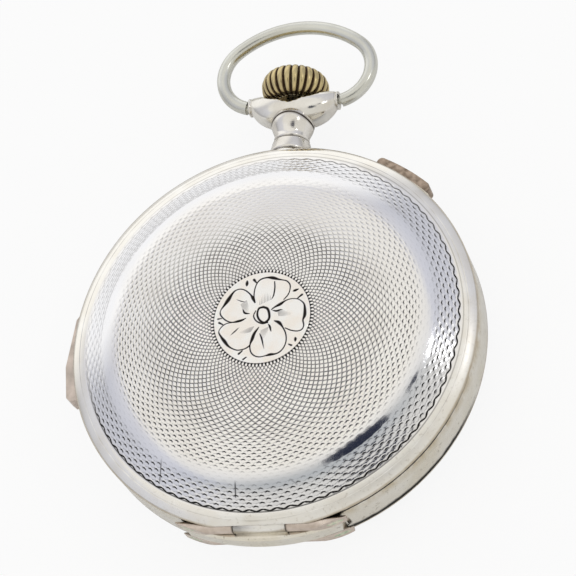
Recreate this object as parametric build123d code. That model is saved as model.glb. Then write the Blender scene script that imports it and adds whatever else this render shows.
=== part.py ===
"""Hunter pocket watch: a 56 mm case with two engine-turned covers, a repeater slide and a
chronograph pusher, and its whole movement. Millimetres, +Z up. The watch lies on its front cover,
the back cover is on top and the pendant points along +Y. The origin is the centre of the flat
medallion it rests on. Heights called low and high are counted from the middle of the band."""
import os
from math import atan2, cos, degrees, pi, radians, sin, sqrt

from build123d import *

# ---- case ----
HALF_THICK = 7.7          # from the middle of the band to either medallion
BAND_R = 28.0             # outside of the case
BAND_HALF = 2.85          # half of the band's height, up to the faces the covers close on
BORE_R = 23.0             # room for the movement
SEAT_R = 21.65            # ledge that the main plate drops into
MEDALLION_R = 6.65
COVER_GAP = 0.02
CUVETTE_R = 24.8
CRYSTAL_R = 22.3

# ---- cover hinges, at the side away from the pendant ----
HINGE_Y, HINGE_Z = -26.9, 1.95
KNUCKLE_R, PIN_R = 0.9, 0.4
HINGE_HALF, CENTRE_HALF = 11.4, 3.45
HINGE_CUT_Y = -27.2       # nothing of a cover goes past this line
BULGE_R, BULGE_HALF = 28.7, 1.3
CUV_HINGE_Y, CUV_HINGE_Z = -25.45, 2.85
CUV_KNUCKLE_R, CUV_PIN_R = 0.5, 0.22

# ---- pendant, crown and bow, on the line x = 0 ----
BALL_Y, BALL_R = 32.85, 2.8
BOW_PIVOT_Y, EAR_X, EAR_R = 36.82, 6.5, 1.33
BOW_CENTRE_Y, BOW_WIRE_R = 42.04, 0.95
BOW_SIDE_X, BOW_SIDE_R, BOW_TOP_R = 5.46, 5.4, 13.85
CROWN_R, CROWN_LOW_Y, CROWN_TOP_Y = 4.78, 36.6, 42.0
FLUTES = 26
SADDLE_R, SADDLE_Y = 4.95, 36.0
STEM_R, PIPE_R, SLEEVE_R = 0.60, 1.00, 1.50

# ---- repeater slide and chronograph pusher, in degrees round the band from +X ----
SLIDE_FROM, SLIDE_TO = 169.5, 195.5
SLIDE_TRAVEL = 25.0
PUSHER_AT, PUSHER_HALF = 54.8, 8.8

# ---- movement: arbor positions and gears (teeth, module) ----
PLATE_LOW, PLATE_TOP = -1.9, -0.8
BRIDGE_LOW, BRIDGE_TOP, BRIDGE_R = 1.6, 2.5, 20.0
FOURTH_X = -11.5
GREAT, CENTRE_PINION = (80, 0.23), (10, 0.23)
CENTRE, THIRD_PINION = (80, 0.16), (10, 0.16)
THIRD, FOURTH_PINION = (75, 0.15), (10, 0.15)
FOURTH, ESCAPE_PINION = (70, 0.13), (7, 0.13)
RATCHET, CROWN_WHEEL = (46, 0.23), (30, 0.23)
CANNON, MINUTE = (12, 0.20), (36, 0.20)
MINUTE_PINION, HOUR = (10, 0.192), (40, 0.192)
ESCAPE_TEETH, ESCAPE_R = 15, 3.0
BARREL_DRUM_R = 8.5
BALANCE_AT, BALANCE_R = (-0.5, -12.5), 7.2
PALLET_AT, PALLET_ANGLE = (-6.34, -6.89), 46.2
CLICK_AT = (15.4, 3.0)
HAMMERS_AT = ((15.4, -7.0), (11.2, -12.4))
BARREL_FEET = ((-2.2, 18.2), (18.6, 3.6), (4.6, 18.9))
TRAIN_FEET = ((-6.0, 17.6), (-18.4, -2.5), (-11.5, -13.8))
FOOT_R, PALLET_FOOT_OFF = 0.9, 3.2
COCK_FOOT, COCK_FOOT_R = (5.2, -18.6), 2.0
COCK_LOW, COCK_TOP = 2.85, 3.25
JEWEL_R, PIVOT_R = 0.6, 0.18
DIAL_R, DIAL_LOW, DIAL_HIGH = 22.3, -3.5, -3.1
GONG_R = 21.6


def gear_distance(wheel, pinion):
    return (wheel[0] + pinion[0]) * wheel[1] / 2


CENTRE_AT = (0.0, 0.0)
BARREL_ANGLE = radians(40)
BARREL_AT = (gear_distance(GREAT, CENTRE_PINION) * cos(BARREL_ANGLE),
             gear_distance(GREAT, CENTRE_PINION) * sin(BARREL_ANGLE))
THIRD_X = (gear_distance(CENTRE, THIRD_PINION) ** 2 - gear_distance(THIRD, FOURTH_PINION) ** 2
           + FOURTH_X ** 2) / (2 * FOURTH_X)
THIRD_AT = (THIRD_X, sqrt(gear_distance(CENTRE, THIRD_PINION) ** 2 - THIRD_X ** 2))
FOURTH_AT = (FOURTH_X, 0.0)
ESCAPE_ANGLE = radians(-60)
ESCAPE_AT = (FOURTH_X + gear_distance(FOURTH, ESCAPE_PINION) * cos(ESCAPE_ANGLE),
             gear_distance(FOURTH, ESCAPE_PINION) * sin(ESCAPE_ANGLE))
CROWN_WHEEL_AT = (0.0, BARREL_AT[1] + sqrt(gear_distance(RATCHET, CROWN_WHEEL) ** 2 - BARREL_AT[0] ** 2))
WELL_LOW_Y, WELL_HIGH_Y = CROWN_WHEEL_AT[1] + 3.3, CROWN_WHEEL_AT[1] + 5.2   # winding pinion's well
MINUTE_AT = (0.0, gear_distance(CANNON, MINUTE))


# ---- drawing helpers ----
def lathe(points):
    """A turned ring or disc from (radius, height) points, on the watch's own axis."""
    return Pos(0, 0, HALF_THICK) * revolve(Plane.XZ * Polygon(*points, align=None), axis=Axis.Z)


def section_of(edges):
    """The face inside closed edges, with its front towards +Z."""
    face = make_face(edges).faces()[0]
    return -face if face.normal_at().Z < 0 else face


def cap(top, radius, edge):
    """Arc from the axis at height top out to a radius, level at the axis like a sphere's cap."""
    sphere = (radius ** 2 + (top - edge) ** 2) / (2 * abs(top - edge))
    sag = sphere - sqrt(sphere ** 2 - radius ** 2 / 4)
    middle = top - sag if top > edge else top + sag
    return ThreePointArc((0, top), (radius / 2, middle), (radius, edge))


def spun(edges):
    """A solid turned on the watch's own axis, from the edges of its half section."""
    return revolve(Plane.XZ * section_of(edges), axis=Axis.Z)


def slab(sketch, low, high):
    return Pos(0, 0, HALF_THICK + low) * extrude(sketch, amount=high - low, dir=(0, 0, 1))


def disc(at, radius, low, high):
    return slab(Pos(at[0], at[1]) * Circle(radius), low, high)


def ring(at, outer, inner, low, high):
    return slab(Pos(at[0], at[1]) * (Circle(outer) - Circle(inner)), low, high)


def rod_x(radius, from_x, to_x, y, z):
    """A rod along X between two x positions."""
    rod = Rot(0, 90, 0) * Cylinder(radius, to_x - from_x)
    return Pos((from_x + to_x) / 2, y, HALF_THICK + z) * rod


def rod_y(radius, from_y, to_y):
    """A rod on the pendant's axis."""
    return Pos(0, (from_y + to_y) / 2, HALF_THICK) * Rot(90, 0, 0) * Cylinder(radius, to_y - from_y)


def block(low, high):
    """A box between two corners, with heights from the middle of the band."""
    size = [b - a for a, b in zip(low, high)]
    centre = [(a + b) / 2 for a, b in zip(low, high)]
    return Pos(centre[0], centre[1], HALF_THICK + centre[2]) * Box(*size)


def polar(radius, angle):
    return (radius * cos(radians(angle)), radius * sin(radians(angle)))


def sector(inner, outer, from_angle, to_angle):
    """A piece of a flat ring between two angles in degrees."""
    middle = (from_angle + to_angle) / 2
    far = ThreePointArc(polar(outer, from_angle), polar(outer, middle), polar(outer, to_angle))
    near = ThreePointArc(polar(inner, to_angle), polar(inner, middle), polar(inner, from_angle))
    ends = [Line(far @ 1, near @ 0), Line(near @ 1, far @ 0)]
    return make_face([far, near] + ends)


def toothed(gear, at, turn):
    """A gear's outline, with one tooth's middle at the angle turn, in radians."""
    teeth, module = gear
    root, tip = module * (teeth / 2 - 1.1), module * (teeth / 2 + 0.85)
    pitch = 2 * pi / teeth
    points = []
    for i in range(teeth):
        middle = turn + i * pitch
        for radius, part in ((root, -0.21), (tip, -0.09), (tip, 0.09), (root, 0.21)):
            angle = middle + part * pitch
            points.append((at[0] + radius * cos(angle), at[1] + radius * sin(angle)))
    return Polygon(*points, align=None)


def meshed_turn(gear, at, mate, mate_at, mate_turn=0.0):
    """The angle that puts a gap of this gear where the mate's tooth crosses the line of centres."""
    line = atan2(at[1] - mate_at[1], at[0] - mate_at[0])
    mate_pitch = 2 * pi / mate[0]
    pitch = 2 * pi / gear[0]
    off = (line - mate_turn) / mate_pitch
    off -= round(off)
    return line + pi + pitch * (0.5 + off)


def windows(at, outer, inner, arms, arm_width):
    """The openings between the arms of a wheel."""
    opening = Circle(outer) - Circle(inner)
    for i in range(arms):
        arm = Pos(outer / 2, 0) * Rectangle(outer, arm_width)
        opening -= Rot(0, 0, i * 360 / arms) * arm
    return Pos(at[0], at[1]) * opening


def pivoted(solid, at, bore):
    """A hole of the given radius right through at an arbor's position."""
    return solid - disc(at, bore, -HALF_THICK, HALF_THICK)


# ---- case ----
def case_band():
    """Turned ring with the main plate's ledge, the covers' faces and the cuvette's seat."""
    band = lathe([(24.0, -BAND_HALF), (BAND_R, -BAND_HALF), (BAND_R, BAND_HALF), (26.0, BAND_HALF),
                  (25.9, 3.2), (25.0, 3.2), (25.0, 2.95), (BORE_R, 2.95), (BORE_R, -0.9),
                  (SEAT_R, -0.9), (SEAT_R, PLATE_LOW), (24.0, PLATE_LOW)])
    band += hinge_bulge()
    for side in (-1, 1):
        low, high = sorted((side * BULGE_HALF, side * 2.9))
        band -= block((-HINGE_HALF - 0.2, -29.0, low), (HINGE_HALF + 0.2, -25.95, high))
        band -= rod_x(KNUCKLE_R, -HINGE_HALF - 1, HINGE_HALF + 1, HINGE_Y, side * HINGE_Z)
        band -= rod_x(KNUCKLE_R + 0.08, -CENTRE_HALF - 0.05, CENTRE_HALF + 0.05, HINGE_Y, side * HINGE_Z)
    band -= block((-4.9, -26.15, 2.35), (4.9, -24.7, 4.0))
    for low_x in (-4.8, 3.0):
        eye = Circle(CUV_KNUCKLE_R) + Pos(0, -0.4) * Rectangle(2 * CUV_KNUCKLE_R, 0.8)
        eye -= Circle(CUV_PIN_R)
        at = Plane((low_x, CUV_HINGE_Y, HALF_THICK + CUV_HINGE_Z), x_dir=(0, 1, 0), z_dir=(1, 0, 0))
        band += extrude(at * eye, amount=1.8)
    band -= rod_y(SLEEVE_R, 20.0, 30.0)
    band -= slab(sector(24.7, 25.7, -60, 85), -BAND_HALF, -1.0)
    band -= slab(sector(24.7, 25.7, 95, 250), -BAND_HALF, -1.0)
    band -= slab(sector(22.0, 29.0, SLIDE_FROM + 6 - SLIDE_TRAVEL, SLIDE_TO - 6), -0.6, 0.6)
    pocket = sector(27.0, 29.0, PUSHER_AT - PUSHER_HALF - 0.4, PUSHER_AT + PUSHER_HALF + 0.4)
    band -= slab(pocket, -1.5, 1.5)
    return band - radial_rod(0.55, 22.0, 28.0)


def hinge_bulge():
    """Crescent that stands out of the band between the two hinges, with its edges bevelled."""
    half, taper = 21.0, 4.5
    middle = polar(BULGE_R, -90)
    face = ThreePointArc(polar(BULGE_R, -90 - half), middle, polar(BULGE_R, -90 + half))
    start, end = polar(27.0, -90 - half - taper), polar(27.0, -90 + half + taper)
    outline = section_of([face, Line(face @ 1, end), Line(end, start), Line(start, face @ 0)])
    bulge = slab(outline, -BULGE_HALF, BULGE_HALF)
    outer = bulge.faces().filter_by(GeomType.CYLINDER).edges().filter_by(GeomType.CIRCLE)
    return chamfer(outer, 0.3) - disc((0, 0), 27.2, -BULGE_HALF, BULGE_HALF)


def radial_rod(radius, from_r, to_r):
    """A rod on the pusher's axis, pointing out of the band."""
    rod = Pos((from_r + to_r) / 2, 0, HALF_THICK) * Rot(0, 90, 0) * Cylinder(radius, to_r - from_r)
    return Rot(0, 0, PUSHER_AT) * rod


def hinge_knuckles():
    """The band's four knuckles, two for each cover, with their ends filed flush with the bulge."""
    tubes = []
    for side in (-1, 1):
        for low_x, high_x in ((-HINGE_HALF, -CENTRE_HALF - 0.05), (CENTRE_HALF + 0.05, HINGE_HALF)):
            tube = rod_x(KNUCKLE_R, low_x, high_x, HINGE_Y, side * HINGE_Z)
            tube &= disc((0, 0), BULGE_R, -4, 4)
            tubes.append(tube - rod_x(PIN_R, low_x - 1, high_x + 1, HINGE_Y, side * HINGE_Z))
    return Compound(children=tubes)


def hinge_pin(side):
    """Pin right through a cover's hinge, with its ends filed to the same round as the knuckles."""
    pin = rod_x(PIN_R, -HINGE_HALF - 0.05, HINGE_HALF + 0.05, HINGE_Y, side * HINGE_Z)
    return pin & disc((0, 0), BULGE_R, -4, 4)


def dome_height(radius, inner, outer):
    """Height at a radius of the sphere, centred on the axis, through two (radius, height) points."""
    fall = (outer[0] ** 2 - inner[0] ** 2) / (inner[1] - outer[1])
    centre = (inner[1] + outer[1] - fall) / 2
    return centre + sqrt(inner[0] ** 2 + (inner[1] - centre) ** 2 - radius ** 2)


def cover_profile():
    """Half section of a cover: flat medallion, low dome, shoulder, ogee and rim."""
    rim = BAND_HALF + COVER_GAP
    dome_in, dome_out = (MEDALLION_R + 0.1, 7.6), (20.2, 6.62)
    outer = [Line((0, HALF_THICK), (MEDALLION_R, HALF_THICK)),
             Line((MEDALLION_R, HALF_THICK), dome_in),
             ThreePointArc(dome_in, (13.5, dome_height(13.5, dome_in, dome_out)), dome_out),
             ThreePointArc(dome_out, (21.6, 6.27), (22.9, 5.72)),
             ThreePointArc((22.9, 5.72), (24.4, 4.80), (25.9, 3.97)),
             ThreePointArc((25.9, 3.97), (27.2, 3.55), (BAND_R, 3.05)),
             Line((BAND_R, 3.05), (BAND_R, rim))]
    inner = [Line((BAND_R, rim), (26.9, rim)),
             Line((26.9, rim), (26.4, 3.25)),
             Line((26.4, 3.25), (25.6, 3.62)),
             Line((25.6, 3.62), (22.7, 5.25)),
             ThreePointArc((22.7, 5.25), (21.4, 5.78), (20.1, 6.1)),
             cap(7.2, 20.1, 6.1),
             Line((0, 7.2), (0, HALF_THICK))]
    return outer + inner


def cover(side):
    """One hinged cover: back on top (side 1), front below (side -1), with its centre knuckle."""
    shell = spun(cover_profile())
    shell -= Pos(0, HINGE_CUT_Y - 2.5, 5) * Box(2 * HINGE_HALF, 5, 10)
    knuckle = Pos(0, HINGE_Y, HINGE_Z) * Rot(0, 90, 0) * Cylinder(KNUCKLE_R, 2 * CENTRE_HALF)
    web = Pos(0, HINGE_CUT_Y + 0.5, HINGE_Z + 0.75) * Box(2 * CENTRE_HALF, 1.0, 0.6)
    shell += knuckle + web
    shell -= Pos(0, HINGE_Y, HINGE_Z) * Rot(0, 90, 0) * Cylinder(PIN_R + 0.03, 2 * HINGE_HALF)
    if side < 0:
        shell = mirror(shell, about=Plane.XY)
    return Pos(0, 0, HALF_THICK) * shell


def cuvette():
    """Inner dust cover over the movement, on its own small hinge."""
    shell = lathe([(0, 5.2), (12, 4.75), (19, 4.0), (23.2, 3.05), (23.2, 2.97), (CUVETTE_R, 2.97),
                   (CUVETTE_R, 3.3), (23.4, 3.45), (19, 4.35), (12, 5.1), (0, 5.55)])
    shell -= block((-6, -26.0, 2.0), (6, -24.75, 4.0))
    knuckle = rod_x(CUV_KNUCKLE_R, -2.95, 2.95, CUV_HINGE_Y, CUV_HINGE_Z)
    web = block((-2.95, CUV_HINGE_Y, CUV_HINGE_Z + 0.15), (2.95, -24.4, CUV_HINGE_Z + 0.5))
    return shell + knuckle + web - rod_x(CUV_PIN_R + 0.03, -3.5, 3.5, CUV_HINGE_Y, CUV_HINGE_Z)


def cuvette_hinge_pin():
    return rod_x(CUV_PIN_R, -4.8, 4.8, CUV_HINGE_Y, CUV_HINGE_Z)


def bezel():
    """Ring that snaps into the front of the band and holds the crystal."""
    ring_solid = lathe([(23.3, -2.0), (24.0, -2.0), (24.0, -BAND_HALF), (25.6, -BAND_HALF),
                        (25.6, -3.25), (23.4, -4.45), (22.5, -5.05), (21.9, -5.1), (21.9, -4.9),
                        (CRYSTAL_R, -4.9), (CRYSTAL_R, -4.2), (22.6, -3.7), (23.3, -3.0)])
    return ring_solid - crystal()


def crystal():
    """Low domed glass."""
    section = [Line((0, -6.2), (0, -5.5)),
               cap(-5.5, CRYSTAL_R, -4.2),
               Line((CRYSTAL_R, -4.2), (CRYSTAL_R, -4.9)),
               cap(-6.2, CRYSTAL_R, -4.9)]
    return Pos(0, 0, HALF_THICK) * spun(section)


def case_spring(from_angle, to_angle, nose_angle):
    """Bent steel strip in the band's channel, with a nose at one end."""
    strip = slab(sector(25.0, 25.45, from_angle, to_angle), -2.7, -1.2)
    nose = slab(sector(24.8, 25.65, nose_angle - 3, nose_angle + 3), -2.7, -1.2)
    return strip + nose


# ---- pendant, bow and crown ----
def pendant_neck():
    """Turned collar and ball that join the band to the yoke."""
    base = sqrt(BAND_R ** 2 - 3.2 ** 2) - 0.4
    groove = (2.1, BALL_Y - sqrt(BALL_R ** 2 - 2.1 ** 2))
    top = (SLEEVE_R, BALL_Y + sqrt(BALL_R ** 2 - SLEEVE_R ** 2))
    section = [Line((SLEEVE_R, base), (3.2, base)), Line((3.2, base), (3.2, 28.5)),
               Line((3.2, 28.5), (2.85, 28.9)), Line((2.85, 28.9), (2.45, 30.7)),
               Line((2.45, 30.7), groove),
               ThreePointArc(groove, (BALL_R, BALL_Y), top),
               Line(top, (SLEEVE_R, base))]
    neck = Pos(0, 0, HALF_THICK) * revolve(section_of(section), axis=Axis.Y)
    return neck - disc((0, 0), BAND_R, -4, 4)


def pendant_yoke():
    """Forked head that carries the bow's pivots, with a saddle for the crown."""
    sections = []
    for x, y, half_y, half_z in ((-EAR_X, BOW_PIVOT_Y, EAR_R, EAR_R), (-3.3, 36.5, 3.3, 2.2),
                                 (0, 36.0, 3.3, 2.6), (3.3, 36.5, 3.3, 2.2),
                                 (EAR_X, BOW_PIVOT_Y, EAR_R, EAR_R)):
        sections.append(Plane((x, y, HALF_THICK), x_dir=(0, 1, 0), z_dir=(1, 0, 0))
                        * Ellipse(half_y, half_z))
    yoke = loft(sections)
    yoke -= rod_y(SADDLE_R, SADDLE_Y, 45)
    yoke -= Pos(0, BALL_Y, HALF_THICK) * Sphere(BALL_R)
    yoke -= rod_y(SLEEVE_R, 30, 40)
    return yoke - rod_x(0.6, -EAR_X - 1, EAR_X + 1, BOW_PIVOT_Y, 0)


def pendant_sleeve():
    return rod_y(SLEEVE_R, 23.4, 35.9) - rod_y(PIPE_R + 0.05, 23, 36)


def bow():
    """Oval wire bow made of a top arc and two side arcs, with a pivot pin at each end."""
    joint = atan2(BOW_TOP_R - 7.4, BOW_SIDE_X)
    centre_y = BOW_CENTRE_Y
    side = BOW_SIDE_R
    touch = (BOW_SIDE_X + side * cos(joint), centre_y + side * sin(joint))
    end = (BOW_SIDE_X + side * cos(radians(-75)), centre_y + side * sin(radians(-75)))
    right = ThreePointArc(end, (BOW_SIDE_X + side, centre_y), touch)
    top = ThreePointArc(touch, (0, centre_y + 7.4), (-touch[0], touch[1]))
    left = ThreePointArc((-touch[0], touch[1]), (-BOW_SIDE_X - side, centre_y), (-end[0], end[1]))
    path = Wire([right, top, left])
    start = Plane(origin=path @ 0, z_dir=path % 0)
    wire = Pos(0, 0, HALF_THICK) * sweep(start * Circle(BOW_WIRE_R), path=path)
    for side_of in (-1, 1):
        low, high = sorted((side_of * 5.3, side_of * 7.2))
        wire += rod_x(0.55, low, high, BOW_PIVOT_Y, 0)
    return wire


def crown():
    """Fluted winding crown, domed on top, hollow below for its pipe."""
    section = [Line((0, 37.4), (3.5, 37.4)), Line((3.5, 37.4), (3.7, CROWN_LOW_Y)),
               Spline((3.7, CROWN_LOW_Y), (4.6, 37.7), (CROWN_R, 38.9), (4.6, 40.1), (4.0, 40.95)),
               cap(CROWN_TOP_Y, 4.0, 40.95),
               Line((0, CROWN_TOP_Y), (0, 37.4))]
    body = revolve(section_of(section), axis=Axis.Y)
    flute = Pos(CROWN_R + 0.12, 38.9, 0) * Rot(90, 0, 0) * Cylinder(0.3, 6)
    flutes = [Rot(0, i * 360 / FLUTES, 0) * flute for i in range(FLUTES)]
    return Pos(0, 0, HALF_THICK) * (body - flutes) - rod_y(PIPE_R, 36, 39)


def crown_pipe():
    return rod_y(PIPE_R, 29.5, 39.0) - rod_y(STEM_R + 0.03, 29, 38.2)


def winding_stem():
    return rod_y(STEM_R, 12.9, 37.4)


def winding_pinion():
    """Toothed wheel on the stem whose teeth push the crown wheel's."""
    edge_y = CROWN_WHEEL_AT[1] + CROWN_WHEEL[1] * (CROWN_WHEEL[0] / 2 + 0.85)
    teeth = toothed((20, 0.245), (0, 0), 0) - Circle(STEM_R)
    wheel = Rot(90, 0, 0) * extrude(teeth, amount=1.0)
    return Pos(0, edge_y + 1.06, HALF_THICK) * wheel


# ---- repeater slide and chronograph pusher ----
def repeater_slide():
    """Thumb piece outside the band, thick at the end that is pushed."""
    inner = BAND_R + 0.04
    outline = [polar(inner, a) for a in (SLIDE_TO, 189, 182.5, 176, SLIDE_FROM)]
    outline += [polar(r, a) for a, r in ((SLIDE_FROM + 0.4, 28.8), (SLIDE_FROM + 1.6, 29.1),
                                         (179.5, 29.25), (185.0, 29.7), (SLIDE_TO - 1.6, 29.9),
                                         (SLIDE_TO - 0.3, 29.4))]
    body = slab(Polygon(*outline, align=None), -1.4, 1.4)
    return body - disc((0, 0), inner, -2, 2)


def repeater_shoe():
    """Inner tail of the slide, in the band's slot."""
    return slab(sector(23.3, BAND_R + 0.04, SLIDE_FROM + 6.3, SLIDE_TO - 6.3), -0.5, 0.5)


def chronograph_pusher():
    """Long button let into the band, with the stem that reaches the chronograph lever."""
    cap = sector(27.85, 29.6, PUSHER_AT - PUSHER_HALF, PUSHER_AT + PUSHER_HALF)
    cap = fillet(cap.vertices().group_by(lambda v: round(sqrt(v.X ** 2 + v.Y ** 2), 1))[-1], 0.7)
    return slab(cap, -1.3, 1.3) + radial_rod(0.5, 22.4, 28.2)


def pusher_guard():
    """Thin frame soldered to the band around the pusher."""
    frame = slab(sector(BAND_R, 28.35, PUSHER_AT - 10.6, PUSHER_AT + 10.6), -1.8, 1.8)
    window = sector(27.5, 29.0, PUSHER_AT - PUSHER_HALF - 0.4, PUSHER_AT + PUSHER_HALF + 0.4)
    return frame - slab(window, -1.5, 1.5)


# ---- movement: plates ----
def mainplate():
    """Main plate with its flange, sunk for the winding pinion and drilled for every arbor."""
    plate = lathe([(0, PLATE_LOW), (22.6, PLATE_LOW), (22.6, -2.3), (0, -2.3)])
    plate += lathe([(0, PLATE_TOP), (SEAT_R - 0.02, PLATE_TOP), (SEAT_R - 0.02, PLATE_LOW),
                    (0, PLATE_LOW)])
    plate -= block((-3.1, WELL_LOW_Y, -2.95), (3.1, WELL_HIGH_Y, 0))
    plate = pivoted(plate, CENTRE_AT, 0.46)
    plate = pivoted(plate, MINUTE_AT, 0.26)
    for at in (THIRD_AT, FOURTH_AT, ESCAPE_AT, PALLET_AT, BALANCE_AT):
        plate = pivoted(plate, at, 0.22)
    for at in HAMMERS_AT:
        plate -= disc(at, 0.4, -1.6, 0)
    plate -= disc(BARREL_AT, 0.75, -1.9, 0)
    return plate


def bridge_disc():
    """Room that every bridge keeps to: inside the gongs and clear of the balance."""
    return Circle(BRIDGE_R) - Pos(*BALANCE_AT) * Circle(9.2)


def feet(places):
    """Pillars from the main plate up to a bridge."""
    pillars = disc(places[0], FOOT_R, PLATE_TOP, BRIDGE_LOW)
    for at in places[1:]:
        pillars += disc(at, FOOT_R, PLATE_TOP, BRIDGE_LOW)
    return pillars


def barrel_bridge():
    outline = bridge_disc() & Pos(8.2, 12.0) * Rectangle(23.2, 19.6)
    bridge = slab(outline, BRIDGE_LOW, BRIDGE_TOP) + feet(BARREL_FEET)
    bridge -= block((-2.2, WELL_LOW_Y, 0), (2.2, WELL_HIGH_Y, 4))
    bridge = pivoted(bridge, CROWN_WHEEL_AT, 0.8)
    return pivoted(bridge, BARREL_AT, 1.24)


def train_bridge():
    left = Pos(-12.1, 0) * Rectangle(16.0, 44)
    under = Pos(-4.6, -2.6) * Rectangle(16.0, 9.2)
    outline = bridge_disc() & (left + under)
    outline -= Pos(8.2, 12.0) * Rectangle(23.6, 20.0)
    bridge = slab(outline, BRIDGE_LOW, BRIDGE_TOP) + feet(TRAIN_FEET)
    for at in (THIRD_AT, FOURTH_AT, ESCAPE_AT):
        bridge = pivoted(bridge, at, JEWEL_R)
    return pivoted(bridge, CENTRE_AT, 0.75)


def pallet_bridge():
    """Low bar over the pallet arbor, on two feet."""
    bar = Pos(*PALLET_AT) * Rot(0, 0, PALLET_ANGLE) * SlotCenterToCenter(2 * PALLET_FOOT_OFF, 1.8)
    bridge = slab(bar, 0.3, 0.8)
    for side in (-1, 1):
        off_x, off_y = polar(side * PALLET_FOOT_OFF, PALLET_ANGLE)
        foot = (PALLET_AT[0] + off_x, PALLET_AT[1] + off_y)
        bridge += disc(foot, 0.8, PLATE_TOP, 0.3)
    return pivoted(bridge, PALLET_AT, 0.22)


def balance_cock():
    """Cock over the balance: a tapered arm from a foot at the plate's edge."""
    outline = Pos(*BALANCE_AT) * Circle(2.3) + Pos(*COCK_FOOT) * Circle(COCK_FOOT_R)
    dx, dy = COCK_FOOT[0] - BALANCE_AT[0], COCK_FOOT[1] - BALANCE_AT[1]
    length = sqrt(dx * dx + dy * dy)
    arm = Polygon((0, -1.9), (length, -COCK_FOOT_R), (length, COCK_FOOT_R), (0, 1.9), align=None)
    outline += Pos(*BALANCE_AT) * Rot(0, 0, degrees(atan2(dy, dx))) * arm
    foot = (Pos(*COCK_FOOT) * Circle(COCK_FOOT_R)) - Pos(*BALANCE_AT) * Circle(BALANCE_R + 0.4)
    foot = foot & Circle(BRIDGE_R + 0.6)
    cock = slab(outline & Circle(BRIDGE_R + 0.6), COCK_LOW, COCK_TOP)
    cock += slab(foot, PLATE_TOP, COCK_LOW)
    return pivoted(cock, BALANCE_AT, JEWEL_R)


# ---- movement: going train ----
def wheel_and_pinion(at, wheel, wheel_z, wheel_turn, pinion, pinion_z, pinion_turn, arbor, arbor_z):
    """A spoked wheel, its pinion and the arbor they are riveted to."""
    hub = max(arbor + 0.45, 0.9)
    rim = wheel[1] * (wheel[0] / 2 - 1.1) - 0.55
    outline = toothed(wheel, at, wheel_turn) - windows(at, rim, hub, 5, 0.55)
    solid = slab(outline, *wheel_z) + slab(toothed(pinion, at, pinion_turn), *pinion_z)
    return solid + disc(at, arbor, *arbor_z)


CENTRE_TURN = meshed_turn(CENTRE_PINION, CENTRE_AT, GREAT, BARREL_AT)
THIRD_PINION_TURN = meshed_turn(THIRD_PINION, THIRD_AT, CENTRE, CENTRE_AT)
FOURTH_PINION_TURN = meshed_turn(FOURTH_PINION, FOURTH_AT, THIRD, THIRD_AT)
ESCAPE_PINION_TURN = meshed_turn(ESCAPE_PINION, ESCAPE_AT, FOURTH, FOURTH_AT)


def barrel():
    """Mainspring barrel: toothed drum with a lid, open round the arbor."""
    drum = slab(toothed(GREAT, BARREL_AT, 0), -0.5, -0.1)
    drum += disc(BARREL_AT, BARREL_DRUM_R, -0.6, 0.9)
    drum -= disc(BARREL_AT, BARREL_DRUM_R - 0.45, -0.35, 0.7)
    return pivoted(drum, BARREL_AT, 0.75)


def barrel_arbor():
    arbor = disc(BARREL_AT, 0.7, -1.8, BRIDGE_TOP)
    return arbor + disc(BARREL_AT, 1.6, -0.3, 0.65) + disc(BARREL_AT, 1.2, 1.6, BRIDGE_TOP)


def spiral(at, inner, outer, turns, width, low, high):
    """A flat spiral strip."""
    steps = int(turns * 16)
    def edge(offset):
        points = []
        for i in range(steps + 1):
            radius = inner + (outer - inner) * i / steps + offset
            angle = 2 * pi * turns * i / steps
            points.append((at[0] + radius * cos(angle), at[1] + radius * sin(angle)))
        return points
    return slab(Polygon(*(edge(0) + edge(width)[::-1]), align=None), low, high)


def mainspring():
    return spiral(BARREL_AT, 4.6, 7.7, 6, 0.2, -0.25, 0.6)


def centre_wheel():
    solid = wheel_and_pinion(CENTRE_AT, CENTRE, (1.05, 1.3), 0, CENTRE_PINION, (-0.6, 0.0),
                             CENTRE_TURN, 0.7, (-0.8, 2.3))
    solid += disc(CENTRE_AT, 0.42, -3.6, -0.7)
    return pivoted(solid, CENTRE_AT, 0.27)


def third_wheel():
    return wheel_and_pinion(THIRD_AT, THIRD, (0.1, 0.35), 0, THIRD_PINION, (0.95, 1.45),
                            THIRD_PINION_TURN, 0.3, (-0.7, 1.5)) + pivots(THIRD_AT)


def pivots(at):
    """Thin ends of an arbor, in the main plate and in the bridge's jewel."""
    return disc(at, PIVOT_R, -1.8, BRIDGE_TOP - 0.3)


def fourth_wheel():
    solid = wheel_and_pinion(FOURTH_AT, FOURTH, (0.9, 1.1), 0, FOURTH_PINION, (0.0, 0.45),
                             FOURTH_PINION_TURN, 0.28, (-0.7, 1.5))
    return solid + disc(FOURTH_AT, PIVOT_R, -3.64, BRIDGE_TOP - 0.3)


def escape_wheel():
    """Club-toothed escape wheel and its pinion."""
    points = []
    pitch = 2 * pi / ESCAPE_TEETH
    for i in range(ESCAPE_TEETH):
        for radius, part in ((ESCAPE_R - 0.75, 0.0), (ESCAPE_R, 0.42), (ESCAPE_R, 0.54),
                             (ESCAPE_R - 0.7, 0.38)):
            angle = (i + part) * pitch
            points.append((ESCAPE_AT[0] + radius * cos(angle), ESCAPE_AT[1] + radius * sin(angle)))
    outline = Polygon(*points, align=None) - windows(ESCAPE_AT, 1.7, 0.7, 4, 0.4)
    solid = slab(outline, -0.35, -0.15)
    solid += slab(toothed(ESCAPE_PINION, ESCAPE_AT, ESCAPE_PINION_TURN), 0.75, 1.25)
    return solid + disc(ESCAPE_AT, 0.26, -0.7, 1.5) + pivots(ESCAPE_AT)


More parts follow.
